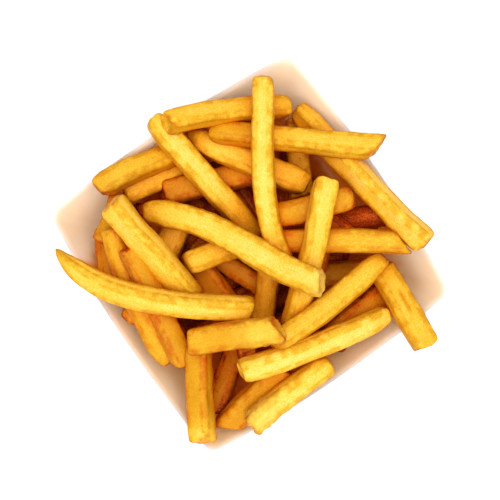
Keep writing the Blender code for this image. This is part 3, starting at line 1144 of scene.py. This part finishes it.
@dataclass
class Bowl:
    """The bowl: flared walls, a round lip, a rounded well and a ring foot."""

    profile: BowlProfile
    foot_share: float = 0.53
    foot_height: float = 3 * MM
    foot_width: float = 3.2 * MM
    foot_edge: float = 0.8 * MM
    foot_turns: tuple[float, ...] = (0, 22, 45, 68, 90)
    hollow: float = 1.4 * MM
    wall_low: float = 0.60
    wall_high: float = 0.985
    wall_steps: int = 30
    lip_steps: int = 12
    well_share: float = 0.53
    side_steps: int = 36
    corner_steps: int = 12
    film_start: float = 0.3 * MM
    film_depth: float = 26 * MM
    film_power: float = 0.7
    film_least: float = 0.74
    # Painted shade: more film on the walls on the key light's side, which face away from it.
    shade_lean: float = 0.45
    shade_side: tuple[float, float] = (-0.56, -0.83)

    # Inside the foot ring: steps outwards in edge widths, with heights as shares of the hollow
    RING = ((-1, 0.8), (-0.5, 0.35), (0, 0.08), (0.5, 0))
    # Over the rounded well: shares, with millimetres above the floor
    WELL = ((0.51, 0.45), (0.49, 0.2), (0.46, 0.06), (0.42, 0), (0.3, 0), (0.15, 0), (0, 0))

    def levels(self) -> list[tuple[float, float]]:
        """List the levels from the middle of the underside round to the middle of the floor.

        Returns:
            Shares of the rim's outline with heights.
        """
        shape = self.profile
        middle = shape.outline.middle
        edge = self.foot_edge / middle
        inner = self.foot_share - self.foot_width / middle
        levels = [(share, self.hollow) for share in (0.0, 0.15, 0.3, inner - 2 * edge)]
        levels += [(inner + step * edge, height * self.hollow) for step, height in self.RING]
        for turn in np.radians(self.foot_turns):
            share = self.foot_share - edge + edge * math.sin(turn)
            levels.append((share, self.foot_edge * (1 - math.cos(turn))))

        # Up the foot ring's outside and a short way out, then up the wall
        shares = np.linspace(self.wall_low, self.wall_high, self.wall_steps)
        wall = [shape.outside(float(share)) for share in shares]
        out = self.foot_share + 0.25 * (wall[0][0] - self.foot_share)
        levels += [(self.foot_share, self.foot_height * 0.8), (out, self.foot_height * 0.95)]
        levels += wall

        lip = shape.rim_thick / 2
        for turn in np.radians(np.linspace(0, 180, self.lip_steps + 1)):
            share = 1 + (lip + lip * math.cos(turn)) / middle
            levels.append((share, shape.height - lip + lip * math.sin(turn)))
        for share in np.linspace(self.wall_high, self.well_share, self.wall_steps):
            levels.append((float(share), float(shape.inside(share))))
        return levels + [(share, shape.floor + lift * MM) for share, lift in self.WELL]

    def film(self, points: np.ndarray) -> tuple[np.ndarray, np.ndarray]:
        """Tell how much warm film lies on the glaze: partly oil and starch, partly painted light
        bounced from the fries.

        There is none outside, and more lower down and, as painted shade, on the walls that face
        away from the key light.

        Args:
            points: The bowl's points.

        Returns:
            Which points are inside, and the film there.
        """
        shape = self.profile
        x, y, height = points.T
        from_middle = np.hypot(x, y)
        share = from_middle / np.maximum(shape.outline.reach(x, y), 1 * MM)
        inside = np.abs(height - shape.inside(share)) < 0.05 * MM
        inside |= (share < shape.floor_share + 0.02) & (height > shape.floor - 0.1 * MM)
        depth = smooth(shape.height - height, self.film_start, self.film_depth) ** self.film_power
        # Painted shade: more film towards the key light's side.
        lean = x * self.shade_side[0] + y * self.shade_side[1]
        lean = np.maximum(lean / np.maximum(from_middle, 1 * MM), 0)
        film = self.film_least + (1 - self.film_least) * depth
        return inside, inside * (film * (1 + self.shade_lean * lean))

    def build(self, finish: bpy.types.Material, heap: HeapMap) -> bpy.types.Object:
        """Build the bowl.

        Args:
            finish: Its material.
            heap: What lies in it.

        Returns:
            The bowl.
        """
        outline = self.profile.outline.points(self.side_steps, self.corner_steps)
        levels = self.levels()
        rings = []
        for share, height in levels[1:-1]:
            rings.append(np.column_stack((outline * share, np.full(len(outline), height))))
        middles = np.array([(0, 0, levels[0][1]), (0, 0, levels[-1][1])])
        points = np.concatenate(rings + [middles])
        obj = new_piece("square_bowl", points, *tube_faces(len(rings), len(outline)))
        inside, film = self.film(points)
        # The share of sky the food hides drives the painted light and painted shade near the food.
        store(obj, {"film": film, "shelter": inside * heap.shelter(points, by_bowl=False)})
        obj.data.materials.append(finish)
        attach(obj, "root")
        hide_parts("bowl")
        return obj


@dataclass
class HeapCore:
    """The mound of fries too deep to be seen, under the ones that are laid."""

    profile: BowlProfile
    radius: float = 44 * MM
    peak: float = 30 * MM
    edge: float = 22 * MM
    sides: int = 96
    rings: int = 20
    outer_share: float = 0.985
    lift: float = 0.3 * MM
    lumps: float = 1.2 * MM
    lump_size: float = 9 * MM
    # Darkens the mound further, as painted shade deep in the heap.
    own_tone: float = 0.1

    def top(self, x: np.ndarray, y: np.ndarray) -> np.ndarray:
        """Height of its top."""
        share = np.hypot(x, y) / self.radius
        return np.where(share < 1, self.peak - (self.peak - self.edge) * share**2, NOTHING)

    def build(self, finish: bpy.types.Material, noise: Noise, heap: HeapMap) -> bpy.types.Object:
        """Build the mound with a lumpy top.

        Args:
            finish: Its material.
            noise: The noise of its lumps.
            heap: What lies on it.

        Returns:
            The mound.
        """
        angles = np.arange(self.sides) * 2 * math.pi / self.sides
        radii = self.radius * np.linspace(0, self.outer_share, self.rings)[1:]
        loops = []
        for radius in radii:
            x, y = radius * np.cos(angles), radius * np.sin(angles)
            loops.append(np.column_stack((x, y, self.profile.seat(x, y) + self.lift)))
        for radius in radii[::-1]:
            x, y = radius * np.cos(angles), radius * np.sin(angles)
            loops.append(np.column_stack((x, y, self.top(x, y))))
            loops[-1][:, 2] += (noise.at(loops[-1], self.lump_size) - 1.0) * self.lumps
        middles = np.array([(0, 0, self.profile.floor + GAP), (0, 0, self.peak - self.lumps)])
        points = np.concatenate(loops + [middles])
        obj = new_piece("heap_core", points, *tube_faces(len(loops), self.sides))
        plain = np.zeros(len(points))
        # The share of sky each point loses to the heap is stored for the crust's painted shade.
        values = {"crust_edge": plain, "crust_tip": plain, "crust_starch": plain,
                  "crust_tone": plain + self.own_tone, "crust_painted_shade": heap.shelter(points)}
        dress_fries(obj, finish, values, points)
        return obj


def dress_fries(
    obj: bpy.types.Object, finish: bpy.types.Material, values: dict[str, np.ndarray],
    grain: np.ndarray,
) -> None:
    """Give a piece of the heap its material, what that reads, and its place in the model.

    Args:
        obj: The piece.
        finish: Its material.
        values: Numbers by name, one for each point.
        grain: The place of each point in the fry's own frame.
    """
    store(obj, values)
    layer = obj.data.attributes.new("grain", "FLOAT_VECTOR", "POINT")
    layer.data.foreach_set("vector", grain.astype(np.float32).ravel())
    obj.data.materials.append(finish)
    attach(obj, "root")
    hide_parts("fries")


@dataclass
class Section:
    """A rounded rectangle walked round in fixed steps."""

    corner_steps: int = 6
    side_steps: int = 8
    corner: np.ndarray = field(init=False)
    outward: np.ndarray = field(init=False)
    across: np.ndarray = field(init=False)
    face: np.ndarray = field(init=False)

    def __post_init__(self) -> None:
        """Work out for each step its corner, its direction outwards and its place across a face."""
        corner, outward, across, face = [], [], [], []
        signs = [(1, 1), (-1, 1), (-1, -1), (1, -1)]
        for k, (here, after) in enumerate(zip(signs, signs[1:] + signs[:1])):
            for step in range(self.corner_steps + 1):
                angle = math.pi / 2 * (k + step / self.corner_steps)
                corner.append(here)
                outward.append((math.cos(angle), math.sin(angle)))
                across.append(1.0)
                face.append(k if step > self.corner_steps / 2 else (k + 3) % 4)
            angle = math.pi / 2 * (k + 1)
            for step in range(1, self.side_steps):
                part = step / self.side_steps
                corner.append(tuple(a + (b - a) * part for a, b in zip(here, after)))
                outward.append((math.cos(angle), math.sin(angle)))
                across.append(abs(2 * part - 1))
                face.append(k)
        self.corner, self.outward = np.array(corner), np.array(outward)
        self.across, self.face = np.array(across), np.array(face)

    def __len__(self) -> int:
        """Number of points in a ring."""
        return len(self.across)


@dataclass(frozen=True)
class Change:
    """A change along a fry, from nothing to its full amount at one end."""

    amount: float
    low: float
    high: float
    at_stop: bool = True

    def at(self, along: np.ndarray) -> np.ndarray:
        """Give the change at shares of the length, as a column."""
        part = smooth(along, self.low, self.high)
        return self.amount * (part if self.at_stop else 1 - part)[:, None]


# What the marks do to a fry's tone, painted shadow included, how much starch shows and how rough it
# is
NO_CHANGE = Change(0.0, 0.0, 1.0)
TONE_CHANGES = {
    Mark.PALE_STOP: Change(-0.36, 0.6, 0.98),
    Mark.SHADOWED_START: Change(0.17, 0.22, 0.34, at_stop=False),
    Mark.ROUGH_STOP: Change(-0.26, 0.4, 0.85),
}
STARCH_CHANGES = {
    Mark.ROUGH_STOP: Change(0.1, 0.4, 0.7),
    Mark.ROUGH_START: Change(0.35, 0.2, 0.5, at_stop=False),
    Mark.FLAKED_STOP: Change(0.5, 0.95, 0.985),
}
ROUGH_CHANGES = {
    Mark.ROUGH_STOP: Change(1.9, 0.35, 0.65),
    Mark.ROUGH_START: Change(3.6, 0.25, 0.5, at_stop=False),
    Mark.FLAKED_STOP: Change(2.0, 0.93, 0.98),
}


@dataclass
class FryBody:
    """One fry at full detail. Heights of the relief are in millimetres."""

    fry: Fry
    pose: Pose
    seed: int
    noise: Noise
    heap: HeapMap
    section: Section
    step: float
    least_rings: int = 12
    worn_rings: tuple[float, ...] = (0, 0.04, 0.12, 0.26, 0.46, 0.72)
    cap_rings: tuple[float, ...] = (0.12, 0.32, 0.52, 0.70, 0.85, 0.95)
    cap_sink: float = 0.45 * MM
    waves: int = 7
    wave_length: float = 13 * MM
    taper: float = 0.035
    uneven: float = 0.05
    least_cut: float = 0.3
    sharpen: float = 0.5
    sharp_share: float = 0.12
    round_share: float = 0.26
    round_spread: tuple[float, float] = (0.85, 1.2)
    most_round: float = 3.2 * MM
    calm: float = 5 * MM
    crown: tuple[float, float] = (-0.12, 0.42)
    crown_wave: float = 0.25
    twist: float = 5.6
    wander: float = 0.28 * MM
    cut_reach: float = 7 * MM
    crooked: tuple[float, float] = (0.3, 0.35)
    nicks: int = 2
    nick_depth: float = 2.6 * MM
    blister: float = 0.28
    blister_size: float = 2.2 * MM
    blister_share: float = 0.38
    dents: tuple[int, ...] = (0, 1, 1, 2, 2)
    dent_depth: tuple[float, float] = (0.25, 0.5)
    dent_width: tuple[float, float] = (1.6, 2.8)
    dent_margin: int = 8
    dent_rings: int = 40
    groove_depth: float = 0.75
    groove_darkening: float = 0.30
    ridge: float = 0.30
    ragged_ends: float = 1.1
    edge_width: float = 1.1 * MM
    rim_width: float = 0.7 * MM
    tip_reach: float = 2.5 * MM
    grain_room: float = 0.3
    # Painted shade on faces that turn away from up: their tone is darkened and their warm painted
    # shade raised.
    side_painted_shade: float = 0.08
    side_painted_shelter: float = 0.25
    point_tone: float = 0.25

    FINE = 0.68 * MM
    COARSE = 1.1 * MM
    WAVE_GAP = 0.21  # between the places in the noise that a fry's waves are read from
    LINE_GAP = 0.013  # between the lines in the noise that neighbouring fries' waves follow
    SKIN_GAP = 0.017  # the same for their skins
    # Lumps of the skin: height, size, and the power of the roughness that raises them
    LUMPS = (
        (0.2, 7 * MM, 0),
        (0.05, (7 * MM, 1.3 * MM, 1.3 * MM), 0),
        (0.11, 2.8 * MM, 1),
        (0.045, 1.2 * MM, 1.4),
    )

    def stations(self) -> np.ndarray:
        """Choose where the rings go, closer where the ends are worn round.

        Returns:
            Shares of the length.
        """
        span = self.fry.span * MM
        inner = max(self.fry.start.worn, self.fry.stop.worn) / span
        near = inner * np.array(self.worn_rings)
        rings = max(self.least_rings, int(span * (1 - 2 * inner) / self.step))
        return np.concatenate((near, np.linspace(inner, 1 - inner, rings), 1 - near[::-1]))

    def build(self) -> tuple[np.ndarray, dict[str, np.ndarray], np.ndarray]:
        """Work out the points and what the material reads there.

        Returns:
            Points by ring and step, the values by name, and the place in the fry's own frame.
        """
        rng = random.Random(self.seed)
        span = self.fry.span * MM
        along = self.stations()
        here = along * span
        line = np.stack((here, np.full_like(here, self.seed * self.LINE_GAP), 0 * here), axis=1)
        wave = [self.noise.at(line + (0.0, self.WAVE_GAP * k, 0.0), self.wave_length)
                for k in range(self.waves)]
        calm = smooth(np.minimum(along, 1 - along) * span, 0.0, self.calm)
        width, depth = self.sizes(along, wave, rng)
        left, up = self.faces(width, depth, wave, calm, rng)
        grain = np.stack((np.broadcast_to(here[:, None], left.shape), left, up), axis=-1)
        points, forward = self.placed(along, left, up, wave[6] * calm, rng)
        points, grain = self.capped(points, grain, forward)

        ends = len(self.cap_rings)
        full = np.concatenate((np.zeros(ends), along, np.ones(ends)))
        normal = self.normals(points)
        points = points + normal * (self.relief(grain, full, rng) * MM)[..., None]
        edge, tip = self.wear(full, np.pad(width, ends, "edge"))
        tone, starch = self.tones(full, grain, rng)
        # Painted shade: faces that turn away from up are painted darker and warmer.
        side = 1 - smooth(normal[..., 2], 0.1, 0.85)
        offset = np.array([rng.uniform(0, self.grain_room) for _ in range(3)])
        values = {"crust_edge": edge, "crust_tip": tip, "crust_tone": tone + self.side_painted_shade * side,
                  "crust_starch": starch,
                  "crust_painted_shade": self.heap.shelter(points) + self.side_painted_shelter * side}
        return points, values, grain + offset

    def sizes(
        self, along: np.ndarray, wave: list[np.ndarray], rng: random.Random
    ) -> tuple[np.ndarray, np.ndarray]:
        """Size the section: tapered, uneven, and worn down at the ends.

        Args:
            along: Shares of the length.
            wave: Slow waves along the fry.
            rng: The fry's own random numbers.

        Returns:
            The width and the depth of each ring.
        """
        fry, span = self.fry, self.fry.span * MM
        size = end_size(along, fry)
        worn = np.zeros_like(along)
        for distance, end, _ in fry.ends(along):
            if end is POINT:
                near = np.clip(1 - distance / self.sharp_share, 0, 1)
                size = size * (1 - self.sharpen * near**1.5)
            inside = np.clip(end.worn - distance * span, 0, end.worn)
            lost = end.worn - np.sqrt(np.maximum(end.worn**2 - inside**2, 0))
            worn = np.maximum(worn, lost)
        size = size * (1 + rng.uniform(-self.taper, self.taper) * (2 * along - 1))
        width = fry.width * MM * size * (1 + self.uneven * wave[0])
        depth = fry.depth * size * (1 + self.uneven * wave[1])
        width = np.maximum(width - 2 * worn, self.least_cut * width)
        depth = np.maximum(depth - 2 * worn, self.least_cut * depth)
        return width, depth

    def faces(
        self, width: np.ndarray, depth: np.ndarray, wave: list[np.ndarray], calm: np.ndarray,
        rng: random.Random,
    ) -> tuple[np.ndarray, np.ndarray]:
        """Round the section's corners, and swell or sink each face.

        Args:
            width, depth: The size of each ring.
            wave: Slow waves along the fry.
            calm: How much of the swell each ring takes, less towards the ends.
            rng: The fry's own random numbers.

        Returns:
            How far each point lies to the left and up before the fry is rolled.
        """
        ring = self.section
        share = self.round_share * rng.uniform(*self.round_spread)
        radius = np.minimum(share * np.minimum(width, depth), self.most_round)
        swell = [(rng.uniform(*self.crown) + self.crown_wave * wave[2 + k]) * MM * calm
                 for k in range(4)]
        swell = np.stack(swell, axis=1)[:, ring.face] * (1 - ring.across**2)
        sides = []
        for axis, size in enumerate((width, depth)):
            outward = ring.outward[:, axis]
            flat = ring.corner[:, axis] * (size / 2 - radius)[:, None]
            sides.append(flat + outward * radius[:, None] + outward * swell)
        return sides[0], sides[1]

    def placed(
        self, along: np.ndarray, left: np.ndarray, up: np.ndarray, aside: np.ndarray,
        rng: random.Random,
    ) -> tuple[np.ndarray, np.ndarray]:
        """Roll and twist the rings, slant the ends, and set them along the fry's middle.

        Args:
            along: Shares of the length.
            left, up: Places on the section.
            aside: How far the middle wanders to the left, from -1 to 1.
            rng: The fry's own random numbers.

        Returns:
            Points by ring and step, and the direction forward at each ring.
        """
        twist = rng.uniform(-self.twist, self.twist) * (2 * along - 1)
        roll = np.radians(self.fry.roll + twist)[:, None]
        turned = left * np.cos(roll) - up * np.sin(roll)
        raised = left * np.sin(roll) + up * np.cos(roll)
        slide = self.slide(along, rng, left, up)
        middle, (forward, leftward, upward) = fry_spine(self.fry, self.pose, along)
        middle = middle + self.wander * aside[:, None] * leftward
        points = middle[:, None, :]
        for part, way in ((slide, forward), (turned, leftward), (raised, upward)):
            points = points + part[..., None] * way[:, None, :]
        return points, forward

    def slide(
        self, along: np.ndarray, rng: random.Random, left: np.ndarray, up: np.ndarray
    ) -> np.ndarray:
        """Slant the ends: as the solids do, and a little more at random, with nicked corners.

        Args:
            along: Shares of the length.
            rng: The fry's own random numbers.
            left, up: Places on the section.

        Returns:
            How far each point moves along the fry.
        """
        slide = slant(along, self.fry, left)
        span, half = self.fry.span * MM, self.fry.width * MM / 2
        reach = max(Fry.SLANT_RUN * span, self.cut_reach)
        for distance, end, outwards in self.fry.ends(along):
            near = np.clip(1 - distance * span / reach, 0, 1)[:, None]
            plain = 1.0 if end is CUT else 0.5
            lean = [rng.uniform(-most, most) for most in self.crooked]
            slide += near * plain * (lean[0] * left + lean[1] * up)
            for _ in range(self.nicks):
                turn = rng.uniform(0, 2 * math.pi)
                corner = (left * math.cos(turn) + up * math.sin(turn)) / half
                nick = rng.uniform(0, self.nick_depth)
                slide -= outwards * near * nick * np.clip(corner - 0.5, 0, 1)
        return slide

    def cap(self, ring: np.ndarray, sink: np.ndarray) -> np.ndarray:
        """Shrink a ring in steps to a sunken middle.

        Args:
            ring: The points of the end ring.
            sink: How far and which way the middle sinks.

        Returns:
            The rings from the smallest to the largest.
        """
        middle = ring.mean(axis=0)
        rings = [middle + (ring - middle) * k + sink * (1 - k * k) for k in self.cap_rings]
        return np.array(rings)

    def capped(
        self, points: np.ndarray, grain: np.ndarray, forward: np.ndarray
    ) -> tuple[np.ndarray, np.ndarray]:
        """Close the ends.

        Args:
            points: Points of the body.
            grain: Places in the fry's own frame.
            forward: The direction along the fry.

        Returns:
            The points and places with the rings before and after.
        """
        result = []
        for block, sink in ((points, self.cap_sink), (grain, 0.0)):
            low = self.cap(block[0], forward[0] * sink)
            high = self.cap(block[-1], -forward[-1] * sink)[::-1]
            result.append(np.concatenate((low, block, high)))
        return result[0], result[1]

    @staticmethod
    def normals(points: np.ndarray) -> np.ndarray:
        """Find the direction outwards at each point.

        Args:
            points: Points by ring and step.

        Returns:
            Directions of length 1.
        """
        lengthwise = np.gradient(points, axis=0)
        around = np.roll(points, -1, axis=1) - np.roll(points, 1, axis=1)
        normal = np.cross(around, lengthwise)
        return normal / (np.linalg.norm(normal, axis=2, keepdims=True) + TINY)

    def across(self, grain: np.ndarray) -> np.ndarray:
        """Measure places from the right side, at -1, to the left side, at 1."""
        return grain[..., 1] / (self.fry.width * MM / 2)

    def relief(self, grain: np.ndarray, along: np.ndarray, rng: random.Random) -> np.ndarray:
        """Raise and sink the skin: lumps, pimples, blisters, dents and the fry's own mark.

        Args:
            grain: Places in its own frame.
            along: Share of the length of each ring.
            rng: Its own random numbers.

        Returns:
            How far each point moves outwards, in millimetres.
        """
        place = grain + (0.0, self.seed * self.SKIN_GAP, 0.0)
        rough = self.roughness(along)
        lift = np.zeros(grain.shape[:2])
        for height, size, power in self.LUMPS:
            lift += height * rough**power * self.noise.at(place, size)
        blister = self.noise.at(place + 0.5, self.blister_size) - (1 - self.blister_share)
        lift += self.blister * np.clip(blister, 0, 1) / self.blister_share * np.sqrt(rough)
        if len(along) > self.dent_rings:
            for _ in range(rng.choice(self.dents)):
                ring = rng.randrange(self.dent_margin, len(along) - self.dent_margin)
                centre = grain[ring, rng.randrange(len(self.section))]
                away = np.linalg.norm((grain - centre) / (1.6, 1.0, 1.0), axis=2)
                depth, width = rng.uniform(*self.dent_depth), rng.uniform(*self.dent_width) * MM
                lift -= depth * np.exp(-((away / width) ** 2))
        top = smooth(grain[..., 2], 0.0, 1.5 * MM)
        if self.fry.mark is Mark.GROOVE:
            lift -= self.groove_depth * self.groove(along, grain, 0.16) * top
        if self.fry.mark is Mark.RIDGE:
            reach = smooth(along, 0.28, 0.40) * (1 - smooth(along, 0.8, 0.95))
            lift += self.ridge * reach[:, None] * top * np.exp(-((self.across(grain) / 0.2) ** 2))
        return lift

    def groove(self, along: np.ndarray, grain: np.ndarray, width: float) -> np.ndarray:
        """Tell how deep in the groove each point lies.

        Args:
            along: Shares of the length.
            grain: Places in the fry's own frame.
            width: The groove's width, as a share of half the fry's.

        Returns:
            From 0 outside the groove to 1 along its middle.
        """
        reach = smooth(along, 0.30, 0.40) * (1 - smooth(along, 0.55, 0.68))
        return reach[:, None] * np.exp(-(((self.across(grain) - 0.12) / width) ** 2))

    def roughness(self, along: np.ndarray) -> np.ndarray:
        """Tell how rough the skin is along the fry, beside plain skin.

        Args:
            along: Shares of the length.

        Returns:
            A column with a factor for each share.
        """
        away = np.minimum(along, 1 - along) * self.fry.span
        rough = 1 + self.ragged_ends * np.exp(-away / 3)[:, None]
        return rough + ROUGH_CHANGES.get(self.fry.mark, NO_CHANGE).at(along)

    def wear(self, along: np.ndarray, width: np.ndarray) -> tuple[np.ndarray, np.ndarray]:
        """Tell how close each point is to a worn edge and to an end.

        Args:
            along: Shares of the length.
            width: The width of each ring.

        Returns:
            Both, from 0 to 1.
        """
        away = np.minimum(along, 1 - along) * (self.fry.span * MM)
        inwards = (1 - self.section.across) * (width / 2)[:, None]
        edge = np.exp(-((inwards / self.edge_width) ** 2))
        edge = np.maximum(edge, np.exp(-((away / self.rim_width) ** 2))[:, None])
        caps = np.array(self.cap_rings)[:, None] ** 2
        edge[:len(caps)] *= caps
        edge[-len(caps):] *= caps[::-1]
        return edge, np.exp(-away / self.tip_reach)[:, None] * np.ones_like(edge)

    def tones(
        self, along: np.ndarray, grain: np.ndarray, rng: random.Random
    ) -> tuple[np.ndarray, np.ndarray]:
        """Tell how much darker or paler the fry is than its piece, and where starch has flaked.

        Args:
            along: Shares of the length.
            grain: Places in the fry's own frame.
            rng: Its own random numbers.

        Returns:
            The difference in doneness, and the starch from 0 to 1.
        """
        tone = np.full(grain.shape[:2], self.fry.shade + rng.uniform(-0.03, 0.03))
        tone += rng.uniform(-0.05, 0.05) * (2 * along - 1)[:, None]
        for distance, end, _ in self.fry.ends(along):
            if end is POINT:
                tone += self.point_tone * np.exp(-distance * self.fry.span / 2.5)[:, None]
        mark = self.fry.mark
        tone += TONE_CHANGES.get(mark, NO_CHANGE).at(along)
        if mark is Mark.GROOVE:
            # The groove is painted darker.
            tone += self.groove_darkening * self.groove(along, grain, 0.14) * (grain[..., 2] > 0)
        return tone, np.zeros_like(tone) + STARCH_CHANGES.get(mark, NO_CHANGE).at(along)


@dataclass
class Heap:
    """Every fry, laid and built, one piece for each tone."""

    profile: BowlProfile
    noise: Noise
    core: HeapCore
    bed_seed: int = 5
    bed_count: int = 16
    bed_reach: float = 38.0
    bed_width: float = 9.0
    bed_spans: tuple[float, float] = (34, 50)
    bed_bow: float = 2
    bed_roll: float = 20
    laid: list[tuple[Fry, Pose]] = field(default_factory=list)
    surface: HeapMap = field(init=False)

    NAMES = {
        Tone.PALE: "pale_fries",
        Tone.GOLDEN: "golden_fries",
        Tone.AMBER: "amber_fries",
        Tone.DEEP: "deep_fries",
        Tone.BURIED: "buried_fries",
    }

    def bed(self) -> list[Fry]:
        """Spread the bottom fries over the core in a spiral, turned at random.

        Returns:
            The fries.
        """
        rng = random.Random(self.bed_seed)
        fries = []
        for i in range(self.bed_count):
            turn = i * math.pi * (3 - math.sqrt(5))
            reach = self.bed_reach * math.sqrt((i + 0.5) / self.bed_count)
            x, y = reach * math.cos(turn), reach * math.sin(turn)
            heading = rng.uniform(0, 180)
            span = rng.uniform(*self.bed_spans)
            bow = rng.uniform(-self.bed_bow, self.bed_bow)
            roll = rng.uniform(-self.bed_roll, self.bed_roll)
            place = (x, y, heading, span, self.bed_width, bow, 0, roll)
            fries.append(Fry(*place, CUT, CUT, Tone.BURIED))
        return fries

    def lay(self) -> None:
        """Lay every fry from the bottom up."""
        heap = self.surface = HeapMap(self.profile, self.core)
        bed = [(fry, heap.settle(fry, heap.BED_BITE)) for fry in self.bed()]
        for fry, pose in bed:
            heap.add(fry, pose)
        self.laid = bed
        for fry in FRIES:
            pose = heap.settle(fry, heap.BITE)
            heap.add(fry, pose)
            self.laid.append((fry, pose))

    def build(self, tone: Tone, finish: bpy.types.Material) -> bpy.types.Object:
        """Build the fries of one tone.

        Args:
            tone: The tone.
            finish: Its material.

        Returns:
            The piece.
        """
        buried = tone is Tone.BURIED
        section = Section(3, 5) if buried else Section()
        step = FryBody.COARSE if buried else FryBody.FINE
        points, grains, quads, fans, first = [], [], [], [], 0
        values: dict[str, list[np.ndarray]] = {}
        for number, (fry, pose) in enumerate(self.laid):
            if fry.tone is not tone:
                continue
            body = FryBody(fry, pose, number, self.noise, self.surface, section, step)
            grid, read, grain = body.build()
            middles = np.stack((grid[0].mean(axis=0), grid[-1].mean(axis=0)))
            points += [grid.reshape(-1, 3), middles]
            grains += [grain.reshape(-1, 3), grain[[0, -1], 0]]
            for name, numbers in read.items():
                values.setdefault(name, []).extend([numbers.ravel(), numbers[[0, -1], 0]])
            side, ends = tube_faces(len(grid), len(section), first)
            quads.append(side)
            fans.append(ends)
            first += len(grid) * len(section) + 2
        obj = new_piece(self.NAMES[tone], *map(np.concatenate, (points, quads, fans)))
        joined = {name: np.concatenate(parts) for name, parts in values.items()}
        dress_fries(obj, finish, joined, np.concatenate(grains))
        return obj


@dataclass
class Studio:
    """The pale floor, the soft light and the camera overhead."""

    camera_place: tuple[float, float, float] = (0.90 * MM, 1.15 * MM, 628 * MM)
    camera_turn: float = -34.0
    lens: float = 100.0
    floor_half: float = 8.0
    floor_light: Colour = srgb(232, 232, 232)
    floor_dark: Colour = srgb(228, 228, 228)
    key_heading: float = 236.0
    key_height: float = 48.0
    key_distance: float = 1.3
    key_size: float = 1.1
    key_power: float = 5.0
    horizon: float = 0.5
    zenith: float = 3.0
    backdrop: float = 0.97

    def build(self) -> None:
        """Set up everything that isn't the object."""
        self.add_floor()
        self.add_key()
        self.add_sky()
        self.add_camera()
        view = bpy.context.scene.view_settings
        view.view_transform = "Standard"
        view.look = "Medium High Contrast"

    def add_floor(self) -> None:
        """Lay a wide pale floor."""
        mesh = bpy.data.meshes.new("floor")
        half = self.floor_half
        corners = [(-half, -half, 0), (half, -half, 0), (half, half, 0), (-half, half, 0)]
        mesh.from_pydata(corners, [], [(0, 1, 2, 3)])
        floor = bpy.data.objects.new("floor", mesh)
        bpy.context.scene.collection.objects.link(floor)
        made = bpy.data.materials.new("pale floor")
        graph, shader = shader_of(made)
        cloud = graph.noise(graph.node("ShaderNodeTexCoord").outputs["Object"], scale=3.0)
        graph.feed(shader, {"Base Color": graph.mix(cloud, self.floor_light, self.floor_dark)})
        shader.inputs["Roughness"].default_value = 0.9
        shader.inputs["Specular IOR Level"].default_value = 0.1
        mesh.materials.append(made)

    def add_key(self) -> None:
        """Hang the large soft light."""
        light = bpy.data.lights.new("key", "AREA")
        light.size = self.key_size
        light.energy = self.key_power
        lamp = bpy.data.objects.new("key", light)
        turn, rise = math.radians(self.key_heading), math.radians(self.key_height)
        level = math.cos(rise)
        toward = Vector((math.cos(turn) * level, math.sin(turn) * level, math.sin(rise)))
        lamp.location = toward * self.key_distance
        lamp.rotation_euler = toward.to_track_quat("Z", "Y").to_euler()
        bpy.context.scene.collection.objects.link(lamp)

    def add_sky(self) -> None:
        """Fill from all round with white, strongest overhead."""
        world = bpy.data.worlds.new("white room")
        world.use_nodes = True
        graph = Graph(world.node_tree)
        back = world.node_tree.nodes["Background"]
        back.inputs["Color"].default_value = (1, 1, 1, 1)
        place = graph.node("ShaderNodeTexCoord").outputs["Generated"]
        upward = graph.node("ShaderNodeSeparateXYZ", {0: place}).outputs["Z"]
        light = graph.span(upward, low=0.6, high=0.95, first=self.horizon, last=self.zenith)
        seen = graph.node("ShaderNodeLightPath").outputs["Is Camera Ray"]
        unseen = graph.sum("SUBTRACT", 1.0, seen)
        strength = graph.plus(graph.times(light, unseen), graph.times(self.backdrop, seen))
        graph.feed(back, {"Strength": strength})
        bpy.context.scene.world = world

    def add_camera(self) -> None:
        """Look straight down."""
        data = bpy.data.cameras.new("camera")
        data.lens = self.lens
        data.sensor_width = 36
        data.clip_start = 0.01
        camera = bpy.data.objects.new("camera", data)
        camera.location = self.camera_place
        camera.rotation_euler = Euler((0, 0, math.radians(self.camera_turn)))
        bpy.context.scene.collection.objects.link(camera)
        bpy.context.scene.camera = camera


def report(obj: bpy.types.Object) -> None:
    """Log a piece and how many triangles it has."""
    obj.data.calc_loop_triangles()
    log.info("%s: %d triangles", obj.name, len(obj.data.loop_triangles))


def main() -> None:
    """Build the bowl, the heap and the studio, and note the sizes."""
    logging.basicConfig(level=logging.INFO, format="%(name)s: %(message)s")
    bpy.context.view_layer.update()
    effects = Effects()
    profile = BowlProfile()
    noise = Noise(11)
    core = HeapCore(profile)
    heap = Heap(profile, noise, core)
    heap.lay()
    report(Bowl(profile).build(GlazeFinish().make(effects), heap.surface))
    finishes = {}
    for tone in Tone:
        name = heap.NAMES[tone].replace("_fries", " crust")
        finishes[tone] = CrustFinish(name, tone).make(effects)
    report(core.build(finishes[Tone.BURIED], noise, heap.surface))
    for tone, finish in finishes.items():
        report(heap.build(tone, finish))
    Studio().build()


if __name__ == "__main__":
    main()
